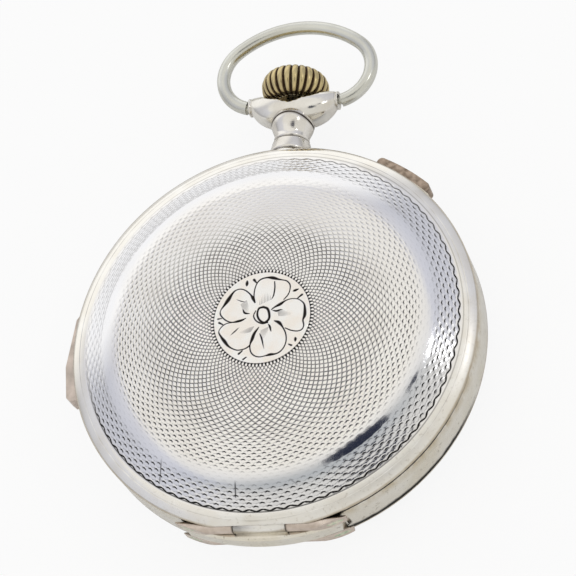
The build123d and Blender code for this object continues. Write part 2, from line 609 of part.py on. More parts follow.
def pallet_fork():
    """Anchor with two stones either side of the escape wheel, and a forked lever."""
    to_escape = degrees(atan2(ESCAPE_AT[1] - PALLET_AT[1], ESCAPE_AT[0] - PALLET_AT[0]))
    to_balance = degrees(atan2(BALANCE_AT[1] - PALLET_AT[1], BALANCE_AT[0] - PALLET_AT[0]))
    reach = sqrt((BALANCE_AT[0] - PALLET_AT[0]) ** 2 + (BALANCE_AT[1] - PALLET_AT[1]) ** 2) - 1.5
    lever = Pos(reach / 2, 0) * Rectangle(reach, 0.4) + Pos(reach, 0) * Rectangle(0.9, 0.9)
    lever -= Pos(reach + 0.3, 0) * Rectangle(0.8, 0.4)
    outline = Circle(0.6) + Rot(0, 0, to_balance) * lever
    for side in (-1, 1):
        arm = Pos(1.05, 0) * Rectangle(2.1, 0.5)
        outline += Rot(0, 0, to_escape + side * 84) * arm
    fork = slab(Pos(*PALLET_AT) * outline, -0.4, -0.1)
    return fork + disc(PALLET_AT, PIVOT_R, -1.8, 0.7)


def balance_wheel():
    """Two-armed compensation balance with its timing screws."""
    outline = Circle(BALANCE_R - 0.35) - Circle(BALANCE_R - 1.0)
    outline += Rectangle(2 * BALANCE_R - 1.6, 0.9) + Circle(1.0)
    wheel = slab(Pos(*BALANCE_AT) * outline, 1.75, 2.3)
    screws = []
    for i in range(16):
        screw = Pos(BALANCE_R - 0.3, 0, 0) * Rot(0, 90, 0) * Cylinder(0.22, 0.6)
        screws.append(Rot(0, 0, 11.25 + i * 22.5) * screw)
    wheel += Pos(BALANCE_AT[0], BALANCE_AT[1], HALF_THICK + 2.02) * Compound(children=screws)
    return pivoted(wheel, BALANCE_AT, 0.4)


def balance_staff():
    """Staff with its roller table and collet."""
    staff = disc(BALANCE_AT, 0.4, -0.5, 2.75) + disc(BALANCE_AT, PIVOT_R, -1.8, 3.15)
    return staff + disc(BALANCE_AT, 1.2, 0.1, 0.35)


def hairspring():
    return spiral(BALANCE_AT, 0.42, 3.2, 7, 0.1, 2.4, 2.6)


# ---- movement: winding ----
def ratchet_wheel():
    outline = toothed(RATCHET, BARREL_AT, 0)
    return slab(outline, BRIDGE_TOP + 0.02, 2.9) + disc(BARREL_AT, 1.0, 2.9, 3.15)


def crown_wheel():
    turn = meshed_turn(CROWN_WHEEL, CROWN_WHEEL_AT, RATCHET, BARREL_AT)
    wheel = slab(toothed(CROWN_WHEEL, CROWN_WHEEL_AT, turn), BRIDGE_TOP + 0.02, 2.9)
    return wheel + disc(CROWN_WHEEL_AT, 0.75, 1.65, 2.6) + disc(CROWN_WHEEL_AT, 1.1, 2.9, 3.1)


def click():
    """Pawl beside the ratchet wheel, on its own screw."""
    dx, dy = BARREL_AT[0] - CLICK_AT[0], BARREL_AT[1] - CLICK_AT[1]
    reach = sqrt(dx * dx + dy * dy) - RATCHET[1] * (RATCHET[0] / 2 + 0.85) - 0.06
    beak = Polygon((0, -0.9), (reach, -0.15), (reach, 0.3), (0, 0.9), align=None)
    outline = Circle(0.95) + Rot(0, 0, degrees(atan2(dy, dx))) * beak
    return slab(Pos(*CLICK_AT) * outline, BRIDGE_TOP + 0.02, 2.9) + disc(CLICK_AT, 0.5, 2.9, 3.1)


# ---- movement: dial side ----
def dial():
    """White enamel dial with the seconds' hole at six o'clock."""
    plate = slab(Circle(DIAL_R), DIAL_LOW, DIAL_HIGH)
    plate = plate - disc(CENTRE_AT, 1.05, -4, -3)
    return plate - disc(FOURTH_AT, 0.24, -4, -3)


def pointer(at, angle, length, tail, width, boss, low, high):
    """A flat tapered hand with a round boss."""
    blade = Polygon((-tail, -width / 2), (length * 0.72, -width / 2), (length, -0.08),
                    (length, 0.08), (length * 0.72, width / 2), (-tail, width / 2), align=None)
    outline = Rot(0, 0, angle) * blade + Circle(boss)
    return slab(Pos(*at) * outline, low, high)


def hour_hand():
    return pivoted(pointer(CENTRE_AT, -54, 12.5, 0.5, 0.9, 1.3, -3.84, -3.7), CENTRE_AT, 0.95)


def minute_hand():
    return pivoted(pointer(CENTRE_AT, 60, 18.6, 0.5, 0.7, 1.0, -4.1, -3.96), CENTRE_AT, 0.62)


def seconds_hand():
    return pivoted(pointer(FOURTH_AT, 215, 4.2, 1.6, 0.25, 0.45, -3.64, -3.54), FOURTH_AT, PIVOT_R)


def chronograph_hand():
    """Long centre hand with a counterpoise, on the arbor that runs through the centre wheel."""
    hand = pointer(CENTRE_AT, 0, 19.4, 5.0, 0.25, 0.6, -4.32, -4.2)
    return hand + disc(CENTRE_AT, 0.22, -4.25, 2.9)


def chronograph_wheel():
    outline = toothed((60, 0.11), CENTRE_AT, 0) - windows(CENTRE_AT, 2.7, 0.9, 4, 0.4)
    return pivoted(slab(outline, 2.62, 2.8), CENTRE_AT, 0.22)


def cannon_pinion():
    teeth = slab(toothed(CANNON, CENTRE_AT, 0), -2.68, -2.36)
    return pivoted(teeth + disc(CENTRE_AT, 0.62, -4.1, -2.36), CENTRE_AT, 0.42)


MINUTE_TURN = meshed_turn(MINUTE, MINUTE_AT, CANNON, CENTRE_AT)
HOUR_TURN = meshed_turn(HOUR, CENTRE_AT, MINUTE_PINION, MINUTE_AT)


def minute_wheel():
    solid = slab(toothed(MINUTE, MINUTE_AT, MINUTE_TURN), -2.6, -2.42)
    solid += slab(toothed(MINUTE_PINION, MINUTE_AT, 0), -3.0, -2.6)
    return solid + disc(MINUTE_AT, 0.22, -2.42, -1.6)


def hour_wheel():
    solid = slab(toothed(HOUR, CENTRE_AT, HOUR_TURN), -2.98, -2.76)
    return pivoted(solid + disc(CENTRE_AT, 0.95, -3.85, -2.8), CENTRE_AT, 0.68)


# ---- repeater ----
def hammer(index):
    """Striking hammer: a heavy curved head on an arm that turns on a post."""
    at = HAMMERS_AT[index]
    out = degrees(atan2(at[1], at[0]))
    start = out + 8
    outline = sector(17.6, 20.9, start - 3, start + 9) + Pos(*at) * Circle(1.0)
    tip = polar(18.0, start)
    dx, dy = tip[0] - at[0], tip[1] - at[1]
    arm = Pos(sqrt(dx * dx + dy * dy) / 2, 0) * Rectangle(sqrt(dx * dx + dy * dy), 1.1)
    outline += Pos(*at) * Rot(0, 0, degrees(atan2(dy, dx))) * arm
    return slab(outline, 0.6, 1.7) + disc(at, 0.37, -1.5, 0.6)


def gongs():
    """Two hardened wires round the movement, in one block."""
    wires = slab(sector(GONG_R, GONG_R + 0.45, 130, 400), 1.0, 1.4)
    wires += slab(sector(GONG_R, GONG_R + 0.45, 130, 385), 0.2, 0.6)
    return wires + slab(sector(GONG_R - 0.6, GONG_R + 0.9, 124, 132), PLATE_TOP, 1.5)


# ---- fasteners and jewels ----
def screw(at, radius, seat, height):
    """Slotted cheese head; the thread is left out."""
    head = disc(at, radius, seat, seat + height)
    slot = Pos(at[0], at[1], HALF_THICK + seat + height) * Box(2 * radius + 0.2, 0.22, 0.3)
    return head - slot


def bridge_screws():
    places = [(at, BRIDGE_TOP) for at in BARREL_FEET + TRAIN_FEET] + [(COCK_FOOT, COCK_TOP)]
    return Compound(children=[screw(at, 0.85, seat, 0.3) for at, seat in places])


def case_screws():
    return Compound(children=[screw(polar(21.3, a), 1.1, PLATE_TOP, 0.4) for a in (35, 195)])


def jewels():
    """Ruby hole stones in the bridges."""
    stones = [ring(at, JEWEL_R, 0.21, BRIDGE_TOP - 0.4, BRIDGE_TOP) for at in
              (THIRD_AT, FOURTH_AT, ESCAPE_AT)]
    stones.append(ring(BALANCE_AT, JEWEL_R, 0.21, COCK_LOW, COCK_TOP))
    return Compound(children=stones)


PARTS = {
    "case_band": case_band, "hinge_knuckles": hinge_knuckles,
    "back_hinge_pin": lambda: hinge_pin(1), "front_hinge_pin": lambda: hinge_pin(-1),
    "back_cover": lambda: cover(1), "front_cover": lambda: cover(-1),
    "cuvette": cuvette, "cuvette_hinge_pin": cuvette_hinge_pin,
    "bezel": bezel, "crystal": crystal,
    "lift_spring": lambda: case_spring(97, 245, 242), "catch_spring": lambda: case_spring(-55, 82, 79),
    "pendant_neck": pendant_neck, "pendant_yoke": pendant_yoke, "pendant_sleeve": pendant_sleeve,
    "bow": bow, "crown": crown, "crown_pipe": crown_pipe,
    "winding_stem": winding_stem, "winding_pinion": winding_pinion,
    "repeater_slide": repeater_slide, "repeater_shoe": repeater_shoe,
    "chronograph_pusher": chronograph_pusher, "pusher_guard": pusher_guard,
    "mainplate": mainplate, "barrel_bridge": barrel_bridge, "train_bridge": train_bridge,
    "pallet_bridge": pallet_bridge, "balance_cock": balance_cock,
    "barrel": barrel, "barrel_arbor": barrel_arbor, "mainspring": mainspring,
    "centre_wheel": centre_wheel, "third_wheel": third_wheel, "fourth_wheel": fourth_wheel,
    "escape_wheel": escape_wheel, "pallet_fork": pallet_fork,
    "balance_wheel": balance_wheel, "balance_staff": balance_staff, "hairspring": hairspring,
    "ratchet_wheel": ratchet_wheel, "crown_wheel": crown_wheel, "click": click,
    "dial": dial, "hour_hand": hour_hand, "minute_hand": minute_hand,
    "seconds_hand": seconds_hand, "chronograph_hand": chronograph_hand,
    "chronograph_wheel": chronograph_wheel, "cannon_pinion": cannon_pinion,
    "hour_wheel": hour_wheel, "minute_wheel": minute_wheel,
    "hour_hammer": lambda: hammer(0), "quarter_hammer": lambda: hammer(1), "gongs": gongs,
    "bridge_screws": bridge_screws, "case_screws": case_screws, "jewels": jewels,
}

os.makedirs("parts", exist_ok=True)
for name, make in PARTS.items():
    export_step(make(), f"parts/{name}.step")
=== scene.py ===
"""Looks for a hunter pocket watch with engine-turned silver covers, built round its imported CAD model.
Metres, +Z up. The watch lies on its front cover, with its back cover up and its pendant along +Y."""
from math import cos, hypot, pi, radians, sin, sqrt

import bmesh
import bpy
import numpy as np
from mathutils import Matrix, Vector


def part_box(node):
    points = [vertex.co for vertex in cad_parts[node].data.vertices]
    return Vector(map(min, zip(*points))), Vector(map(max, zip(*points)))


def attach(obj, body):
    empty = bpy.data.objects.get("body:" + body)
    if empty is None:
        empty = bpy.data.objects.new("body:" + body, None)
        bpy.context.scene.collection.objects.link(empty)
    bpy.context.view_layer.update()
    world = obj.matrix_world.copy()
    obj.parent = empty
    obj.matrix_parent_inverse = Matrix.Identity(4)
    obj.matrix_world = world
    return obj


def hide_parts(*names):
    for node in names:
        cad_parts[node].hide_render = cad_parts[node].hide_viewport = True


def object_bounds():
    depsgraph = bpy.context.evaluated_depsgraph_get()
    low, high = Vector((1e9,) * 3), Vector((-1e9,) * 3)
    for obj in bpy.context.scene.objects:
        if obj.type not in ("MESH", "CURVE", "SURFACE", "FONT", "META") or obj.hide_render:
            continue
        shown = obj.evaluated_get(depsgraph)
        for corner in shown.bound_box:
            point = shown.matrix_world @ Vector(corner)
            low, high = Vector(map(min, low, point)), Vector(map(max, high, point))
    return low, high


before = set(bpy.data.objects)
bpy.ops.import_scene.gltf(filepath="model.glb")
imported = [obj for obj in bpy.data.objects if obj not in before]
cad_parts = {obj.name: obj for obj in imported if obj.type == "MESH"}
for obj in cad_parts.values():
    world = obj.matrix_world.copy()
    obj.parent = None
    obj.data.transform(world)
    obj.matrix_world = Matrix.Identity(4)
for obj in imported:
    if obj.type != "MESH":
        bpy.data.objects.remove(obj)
cad_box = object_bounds()

# ---- Case band and bezel ----
# A turned ring of silver that carries every other piece. It was polished on a lathe, so very fine
# lines run round it, and years of handling have left small scratches and a warm tone.
MM = 0.001
MIDDLE = (cad_box[0][2] + cad_box[1][2]) / 2 / MM
BAND_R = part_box("case_band")[1].x / MM
LATHE_LINES = 30.0  # phase of the fine turned lines, in radians to a millimetre


class Line:
    """One socket of a node tree. Arithmetic on it adds Math nodes to the tree."""

    def __init__(self, tree, socket=None):
        self.tree = tree
        self.socket = socket

    def node(self, kind, settings=None, sockets=None, out=0):
        """Adds any other node: its settings come first, then the values or links of its sockets."""
        made = self.tree.nodes.new(kind)
        for key, value in (settings or {}).items():
            if key == "stops":
                set_stops(made.color_ramp, value)
            else:
                setattr(made, key, value)
        for key, value in (sockets or {}).items():
            socket = next(s for s in made.inputs if s.enabled and key in (s.name, s.identifier))
            if isinstance(value, Line):
                self.tree.links.new(value.socket, socket)
            elif socket.type == "RGBA" and len(value) == 3:
                socket.default_value = (*value, 1.0)
            else:
                socket.default_value = value
        return Line(self.tree, [s for s in made.outputs if s.enabled][out])

    def math(self, operation, *others):
        """Adds a Math node with this line as its first value."""
        names = ("Value", "Value_001", "Value_002")
        return self.node("ShaderNodeMath", {"operation": operation}, dict(zip(names, (self, *others))))

    def __add__(self, other):
        return self.math("ADD", other)

    def __sub__(self, other):
        return self.math("SUBTRACT", other)

    def __rsub__(self, other):
        return self.math("MULTIPLY_ADD", -1.0, other)

    def __mul__(self, other):
        return self.math("MULTIPLY", other)

    def __truediv__(self, other):
        return self.math("DIVIDE", other)

    def __rtruediv__(self, other):
        return self.math("POWER", -1.0) * other

    def __gt__(self, other):
        return self.math("GREATER_THAN", other)

    def __lt__(self, other):
        return self.math("LESS_THAN", other)

    __radd__ = __add__
    __rmul__ = __mul__

    def rise(self, low, high):
        """0 up to low and 1 from high, with a straight slope in between."""
        return self.node("ShaderNodeMapRange", {}, {"Value": self, "From Min": low, "From Max": high})

    def hump(self, centre, width):
        """1 at a value, falling softly to 0 on both sides."""
        off = (self - centre) / width
        return (off * off * -1.0).math("EXPONENT")

    def mixed(self, first, second):
        """The first colour, turning into the second as this line goes from 0 to 1."""
        return self.node("ShaderNodeMix", {"data_type": "RGBA"},
                         {"Factor": self, "A": first, "B": second})


def set_stops(ramp, stops):
    """Gives a colour ramp these places and colours."""
    while len(ramp.elements) > 1:
        ramp.elements.remove(ramp.elements[0])
    for i, (place, colour) in enumerate(stops):
        stop = ramp.elements[0] if i == 0 else ramp.elements.new(place)
        stop.position = place
        stop.color = (*colour, 1.0)


def new_finish(name, **constants):
    """A material with these constants on its shader, and its object coordinates in millimetres."""
    made = bpy.data.materials.new(name)
    made.use_nodes = True
    shader = made.node_tree.nodes["Principled BSDF"]
    for key, value in constants.items():
        shader.inputs[key.replace("_", " ")].default_value = value
    at = Line(made.node_tree).node("ShaderNodeTexCoord", out=3)
    return made, at.node("ShaderNodeVectorMath", {"operation": "SCALE"}, {"Vector": at, "Scale": 1 / MM})


def feed(material, **lines):
    """Links lines into the material's shader."""
    shader = material.node_tree.nodes["Principled BSDF"]
    for key, value in lines.items():
        material.node_tree.links.new(value.socket, shader.inputs[key.replace("_", " ")])


def xyz(at):
    """x, y and the height from the band's middle."""
    x, y, z = (at.node("ShaderNodeSeparateXYZ", {}, {"Vector": at}, out=i) for i in range(3))
    return x, y, z - MIDDLE


def noise(at, scale, detail=3.0, stretch=(1.0, 1.0, 1.0)):
    """Noise from 0 to 1, with that many features in a millimetre."""
    at = at.node("ShaderNodeVectorMath", {"operation": "MULTIPLY"},
                 {"Vector": at, "Vector_001": stretch})
    return at.node("ShaderNodeTexNoise", {}, {"Vector": at, "Scale": scale, "Detail": detail})


def hairlines(at):
    """Fine scratches that cross each other."""
    one = noise(at, 1.2, 2.0, (14.0, 0.8, 3.0)).rise(0.58, 0.75)
    other = noise(at, 1.1, 2.0, (1.2, 12.0, 3.0)).rise(0.6, 0.76)
    return one + other


def polish(at, scratched=0.5, grain=0.15):
    """The fine grain of polished metal, and the height of grain and scratches together."""
    fine = noise(at, 18.0, 2.0)
    return fine, hairlines(at) * -scratched + fine * grain


def tarnish(at, scale, full=0.7):
    """Soft clouds of tarnish, with that many in a millimetre."""
    return noise(at, scale, 4.0).rise(0.36, full)


def corners(at, reach, full):
    """The mask of painted corner shade: 0 in the open, rising to 1 in corners, as far as that many
    millimetres can see.
    """
    open_sky = at.node("ShaderNodeAmbientOcclusion", {"samples": 5}, {"Distance": reach * MM}, out=1)
    return (1.0 - open_sky).rise(0.3, full)


def from_axis(x, y):
    """Distance from the watch's axis."""
    return (x * x + y * y).math("SQRT")


def relief(height, strength=0.3, depth=0.01):
    """A bump from a height, which stands for that many millimetres."""
    return height.node("ShaderNodeBump", {}, {"Strength": strength, "Distance": depth * MM, "Height": height})


def metal(name, colour, dull, rough=0.14, dirt_and_shade=0.0, grime_and_shade=(0.05, 0.04, 0.03), turned=0.0, clouds=0.16):
    """Metal with soft clouds of tarnish, hairline scratches, and dirt with painted shade in its corners."""
    made, at = new_finish(name, Metallic=1.0)
    cloud = tarnish(at, clouds)
    shade = cloud.mixed(colour, dull)
    if dirt_and_shade:
        # painted shade: corners darken toward the grime colour, speckled like dirt
        specks = noise(at, 2.6, 4.0).rise(0.25, 0.65)
        shade = (corners(at, 0.8, 0.9) * specks * dirt_and_shade).mixed(shade, grime_and_shade)
    fine, height = polish(at)
    if turned:
        height = height + (from_axis(*xyz(at)[:2]) * LATHE_LINES).math("SINE") * turned
    feed(made, Base_Color=shade, Roughness=cloud * 0.07 + fine * 0.05 + rough, Normal=relief(height))
    return made


def dress(material, *nodes):
    """Gives CAD nodes a finish."""
    for name in nodes:
        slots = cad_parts[name].data.materials
        slots.clear()
        slots.append(material)


dress(metal("bezel_silver", (0.88, 0.85, 0.79), (0.80, 0.74, 0.64), 0.17, 0.8, turned=0.3), "bezel")

# the band's own finish: golden tarnish under the back cover's edge, and black seams with both covers,
# widened near the hinge by a painted shadow of the covers' edges
band_silver, at = new_finish("band_silver", Metallic=1.0)
x, y, z = xyz(at)
angle = y.math("ARCTAN2", x)
cloud = tarnish(at, 0.22)
blotch = noise(at, 0.8, 4.0, (1.0, 1.0, 0.4))
shade = cloud.mixed((0.88, 0.85, 0.78), (0.80, 0.75, 0.64))
gold = z.rise(0.6, 2.7) * blotch.rise(0.35, 0.6) * (angle + 0.5).math("COSINE").rise(0.3, 0.9)
shade = (gold * 0.75).mixed(shade, (0.52, 0.40, 0.20))
shade = (noise(at, 1.7, 5.0).rise(0.62, 0.72) * 0.5).mixed(shade, (0.30, 0.25, 0.18))
# painted shadow: near black along the band's lower edge, widest on the hinge's side, and along its top edge
# by the hinge
gap = (1 - (z + blotch * 0.6).rise(-2.05, -1.6)) * (angle + 0.85).math("COSINE").rise(0.84, 0.94)
gap = gap + (1 - z.rise(-2.84, -2.72)) * 0.7
gap = gap + (z + blotch * 0.3).rise(2.66, 2.76) * (angle + 0.9).math("COSINE").rise(0.8, 0.96)
shade = gap.math("MINIMUM", 1.0).mixed(shade, (0.012, 0.010, 0.008))
fine, height = polish(at)
feed(band_silver, Base_Color=shade, Roughness=cloud * 0.08 + fine * 0.05 + gap * 0.2 + 0.18,
     Normal=relief(height + blotch * 0.4))
dress(band_silver, "case_band")

# ---- Springs, stem and other steel ----
# Hardened and polished steel: the lift and catch springs in the band's channel, the sleeve, stem and
# pipe inside the pendant, the cuvette's hinge pin, the repeater's shoe, hammers and gongs, and the
# movement's click, arbor, staff, mainspring, fork and case screws.
dress(metal("polished_steel", (0.60, 0.60, 0.61), (0.48, 0.47, 0.46), 0.2, 0.5), "lift_spring",
      "catch_spring", "pendant_sleeve", "winding_stem", "winding_pinion", "crown_pipe",
      "repeater_shoe", "cuvette_hinge_pin", "hour_hammer", "quarter_hammer", "gongs", "click",
      "barrel_arbor", "balance_staff", "mainspring", "pallet_fork", "case_screws")

# ---- Plates and bridges ----
# Brass plates with frosted gilding: the surface was brushed with a paste until it was evenly
# matt, then gilt, so it sparkles softly and has no lines.
plate_gilt, at = new_finish("frosted_gilding", Metallic=1.0)
grain = noise(at, 24.0, 2.0)
cloud = noise(at, 0.2, 3.0).rise(0.35, 0.7)
shade = cloud.mixed((0.86, 0.66, 0.36), (0.78, 0.57, 0.30))
feed(plate_gilt, Base_Color=shade, Roughness=grain * 0.2 + 0.28, Normal=relief(grain, 0.5, 0.02))
dress(plate_gilt, "mainplate", "barrel_bridge", "train_bridge", "pallet_bridge", "balance_cock")

# ---- Wheels ----
# Cut and polished brass wheels, the barrel and the balance with them, and two steel winding wheels
# polished with a sunray.
dress(metal("wheel_brass", (0.86, 0.66, 0.34), (0.76, 0.56, 0.28), 0.22, 0.4), "barrel",
      "centre_wheel", "third_wheel", "fourth_wheel", "balance_wheel", "chronograph_wheel",
      "cannon_pinion", "hour_wheel", "minute_wheel", "escape_wheel")


def sunray(name, node):
    """Dresses a steel wheel as polished in rays from its centre."""
    low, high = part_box(node)
    made, at = new_finish(name, Metallic=1.0)
    x, y = xyz(at)[:2]
    angle = (y - (low.y + high.y) / 2 / MM).math("ARCTAN2", x - (low.x + high.x) / 2 / MM)
    rays = noise(at.node("ShaderNodeCombineXYZ", {}, {"X": angle * 9.0}), 2.5, 2.0)
    feed(made, Base_Color=rays.mixed((0.66, 0.66, 0.68), (0.528, 0.528, 0.544)),
         Roughness=rays * 0.2 + 0.15, Normal=relief(rays, 0.35, 0.02))
    dress(made, node)


sunray("ratchet_sunray", "ratchet_wheel")
sunray("crown_wheel_sunray", "crown_wheel")

# ---- Blued steel ----
# Hands, bridge screws and hairspring, polished and heated until the steel turned blue.
dress(metal("blued_steel", (0.03, 0.06, 0.26), (0.05, 0.04, 0.20), 0.16), "hairspring",
      "bridge_screws", "hour_hand", "minute_hand", "seconds_hand", "chronograph_hand")

# ---- Jewels ----
# Ruby hole stones, polished and set in the bridges and the cock.
ruby, at = new_finish("ruby", Roughness=0.06, IOR=1.76, Coat_Weight=0.6)
feed(ruby, Base_Color=noise(at, 1.5, 2.0).mixed((0.50, 0.01, 0.06), (0.75, 0.05, 0.16)))
dress(ruby, "jewels")

# ---- Crystal ----
# A low domed glass that snaps into the bezel.
glass, _ = new_finish("crystal_glass", Base_Color=(0.97, 0.99, 1.0, 1.0), Roughness=0.02, IOR=1.5,
                      Transmission_Weight=1.0)
dress(glass, "crystal")

# ---- Engine-turned covers ----
# Two hinged shells of silver, struck to a low dome and then cut on a rose engine: every ring is a
# wavy line of 88 waves, and each is half a wave from the last, so the rings nearly touch and the
# cuts read as spirals that cross. Handling has worn them smooth along the shoulder.
LOBES, LOBE_STEPS, RINGS = 88, 6, 49
COLUMNS = LOBES * LOBE_STEPS
CUT_FROM, RING_PITCH = 6.68, 0.3955
RIM_R = CUT_FROM + (RINGS - 1) * RING_PITCH + 0.42
WAVE, CUT_WIDTH, CUT_DEPTH = 0.185, 0.14, 0.035
# the seat for the medallion, and the face that closes on the band
DISC_R, SEAT_GAP, SEAT_Z, EDGE_Z = CUT_FROM - 0.13, 0.3, 7.5, 2.87
# the inside, from the edge to the middle, and the fine groove turned in the rim
INSIDE = ((BAND_R, EDGE_Z), (26.9, EDGE_Z), (26.4, 3.25), (25.6, 3.62), (22.7, 5.25), (21.5, 5.76),
          (20.1, 6.1), (15, 6.58), (10, 6.92), (5, 7.13), (0, 7.2))
RIM_GROOVE_R, RIM_GROOVE_HALF, RIM_GROOVE_DEPTH = RIM_R + 0.71, 0.05, 0.03
# the rim is filed flat beside the hinge, from FILED_FROM outward, and nothing passes HINGE_CUT_Y
FILED_FROM, HINGE_CUT_Y = 26.4, 27.2
HINGE_Y, HINGE_Z, KNUCKLE_R, PIN_HOLE_R, KNUCKLE_HALF = -26.9, 1.95, 0.9, 0.42, 3.45


def arc_through(start, middle, end):
    """Centre and radius of the circle through three (radius, height) points, and its half: 1 or -1."""
    (ax, ay), (bx, by), (cx, cy) = start, middle, end
    double = 2 * (ax * (by - cy) + bx * (cy - ay) + cx * (ay - by))
    a, b, c = ax * ax + ay * ay, bx * bx + by * by, cx * cx + cy * cy
    x = (a * (by - cy) + b * (cy - ay) + c * (ay - by)) / double
    y = (a * (cx - bx) + b * (ax - cx) + c * (bx - ax)) / double
    return x, y, hypot(ax - x, ay - y), 1 if by > y else -1


def dome_height(radius, inner, outer):
    """Height at a radius of the sphere, centred on the axis, through two (radius, height) points."""
    fall = (outer[0] ** 2 - inner[0] ** 2) / (inner[1] - outer[1])
    centre = (inner[1] + outer[1] - fall) / 2
    return centre + sqrt(inner[0] ** 2 + (inner[1] - centre) ** 2 - radius ** 2)


DOME = ((6.75, 7.6), (20.2, 6.62))
# the outside as four arcs: the radius where each starts and three of its (radius, height) points
SHOULDER = [(0, (DOME[0], (13.5, dome_height(13.5, *DOME)), DOME[1])),
            (20.2, ((20.2, 6.62), (21.6, 6.27), (22.9, 5.72))),
            (22.9, ((22.9, 5.72), (24.4, 4.80), (25.9, 3.97))),
            (25.9, ((25.9, 3.97), (27.2, 3.55), (28.0, 3.05)))]


def cover_height(radius):
    """Height of a cover's outside over the band's middle, before it is cut."""
    start, points = [s for s in SHOULDER if radius >= s[0]][-1]
    x, y, size, side = arc_through(*points)
    return y + side * sqrt(size * size - (radius - x) ** 2)


def named_inputs(tree, sizes):
    """A Geometry Nodes tree's inputs and output, and a line for each input."""
    tree.interface.new_socket("Geometry", in_out="OUTPUT", socket_type="NodeSocketGeometry")
    kinds = {int: "NodeSocketInt", float: "NodeSocketFloat"}
    for name, value in sizes.items():
        kind = kinds.get(type(value), "NodeSocketMaterial")
        tree.interface.new_socket(name, in_out="INPUT", socket_type=kind)
    inputs = tree.nodes.new("NodeGroupInput")
    return {s.name: Line(tree, s) for s in inputs.outputs if s.name}


def grown(name, tree, sizes):
    """The plain mesh that a Geometry Nodes tree makes with these sizes."""
    holder = bpy.data.objects.new(name, bpy.data.meshes.new(name))
    bpy.context.scene.collection.objects.link(holder)
    modifier = holder.modifiers.new(name, "NODES")
    modifier.node_group = tree
    for socket in tree.interface.items_tree:
        if socket.in_out == "INPUT" and socket.name in sizes:
            modifier[socket.identifier] = sizes[socket.name]
    ready = holder.evaluated_get(bpy.context.evaluated_depsgraph_get())
    mesh = bpy.data.meshes.new_from_object(ready)
    holder.modifiers.remove(modifier)
    bpy.data.objects.remove(holder)
    mesh.name = name
    return mesh


def ended(tree, shape, finish):
    """A tree with its end: instances made real and the material set."""
    shape = shape.node("GeometryNodeRealizeInstances", {}, {"Geometry": shape})
    shape = shape.node("GeometryNodeSetMaterial", {}, {"Geometry": shape, "Material": finish})
    end = tree.nodes.new("NodeGroupOutput")
    tree.links.new(shape.socket, end.inputs[0])
    return tree


def engine_turning():
    """The tree that cuts the rings: three rows of points to a ring, one along the cut's bottom."""
    tree = bpy.data.node_groups.new("engine_turning", "GeometryNodeTree")
    put = named_inputs(tree, SHEET_SIZES)
    line = put["Rings"]
    columns, rows = put["Waves"] * put["Steps"], put["Rings"] * 3 + 2
    grid = line.node("GeometryNodeMeshGrid", {}, {
        "Size X": 1.0, "Size Y": 1.0, "Vertices X": columns + 1, "Vertices Y": rows})
    spot = line.node("GeometryNodeInputPosition")
    across, along = (spot.node("ShaderNodeSeparateXYZ", {}, {"Vector": spot}, out=i) for i in (0, 1))
    angle = (across + 0.5) * (2 * pi)
    row = ((along + 0.5) * (rows - 1)).math("ROUND") - 1
    ring = (row / 3).math("FLOOR")
    part = row - ring * 3
    wave = (angle * put["Waves"] + ring * pi).math("COSINE") * put["Wave"]
    gap = put["Pitch"] - wave * 2
    cut = put["First Radius"] + ring * put["Pitch"] + wave
    # the cuts are wider toward the rim, as far as the wave leaves room
    width = (gap * 0.42).math("MINIMUM", put["Cut Width"] * (1 + cut.rise(13.0, 19.0) * 0.4))
    radius = cut + (part > 0.5) * (part < 1.5) * width + (part > 1.5) * (gap - width)
    first, last = row < -0.5, row > (put["Rings"] * 3 - 0.5)
    middle = (1 - first) * (1 - last)
    radius = radius * middle + first * (put["First Radius"] - SEAT_GAP) + last * put["Last Radius"]
    # the cuts are worn away along the shoulder, and in a patch below the pendant
    shoulder = radius.rise(20.1, 21.5) * (1 - radius.rise(22.6, 23.5))
    patch = angle.hump(1.4, 0.85) * radius.rise(12.5, 16.0) * (1 - radius.rise(21.0, 23.0))
    wear = shoulder.math("MAXIMUM", patch * 0.85)
    crest = wave / put["Wave"] * -0.5 + 0.5
    cutting = (part < 0.5) * middle + first
    height = 0.0
    for (start, points), stop in zip(SHOULDER, [later for later, _ in SHOULDER[1:]] + [BAND_R]):
        x, y, size, side = arc_through(*points)
        off = radius - x
        arc = (size * size - off * off).math("SQRT") * side + y
        height = arc * (radius > start) * (1 - (radius > stop)) + height
    height = height - cutting * put["Cut Depth"] * (1 - wear * 0.96)
    point = line.node("ShaderNodeCombineXYZ", {}, {
        "X": angle.math("COSINE") * radius, "Y": angle.math("SINE") * radius, "Z": height})
    sheet = grid
    for name, value in (("cut", cutting), ("wear", wear), ("crest", crest)):
        sheet = sheet.node("GeometryNodeStoreNamedAttribute", {}, {
            "Geometry": sheet, "Name": name, "Value": value})
    sheet = sheet.node("GeometryNodeSetPosition", {}, {"Geometry": sheet, "Position": point})
    sheet = sheet.node("GeometryNodeMergeByDistance", {}, {"Geometry": sheet, "Distance": 0.0005})
    return ended(tree, sheet, put["Finish"])


BORDER_X, BORDER_Y, BORDER_R = 0.17, 0.18, 26.03
# each deep scratch: where it starts and ends, and how dark it is
SCRATCHES = (((-2.50, -22.1), (-2.65, -24.2), 0.95), ((-12.82, -18.46), (-13.36, -21.4), 0.8),
             ((4.6, -22.1), (5.7, -22.9), 0.35))


def drawn(at, name):
    """A number that a mesh keeps at each of its points."""
    return at.node("ShaderNodeAttribute", {"attribute_name": name}, out=2)


def border_line(x, y):
    """The turned line that ends the cutting, a little off the cover's centre and heavier by the hinge."""
    heavy = (y.math("ARCTAN2", x) + 1.9).math("COSINE").rise(-0.3, 0.9) * 0.45 + 0.45
    return from_axis(x - BORDER_X, y - BORDER_Y).hump(BORDER_R, 0.085) * heavy
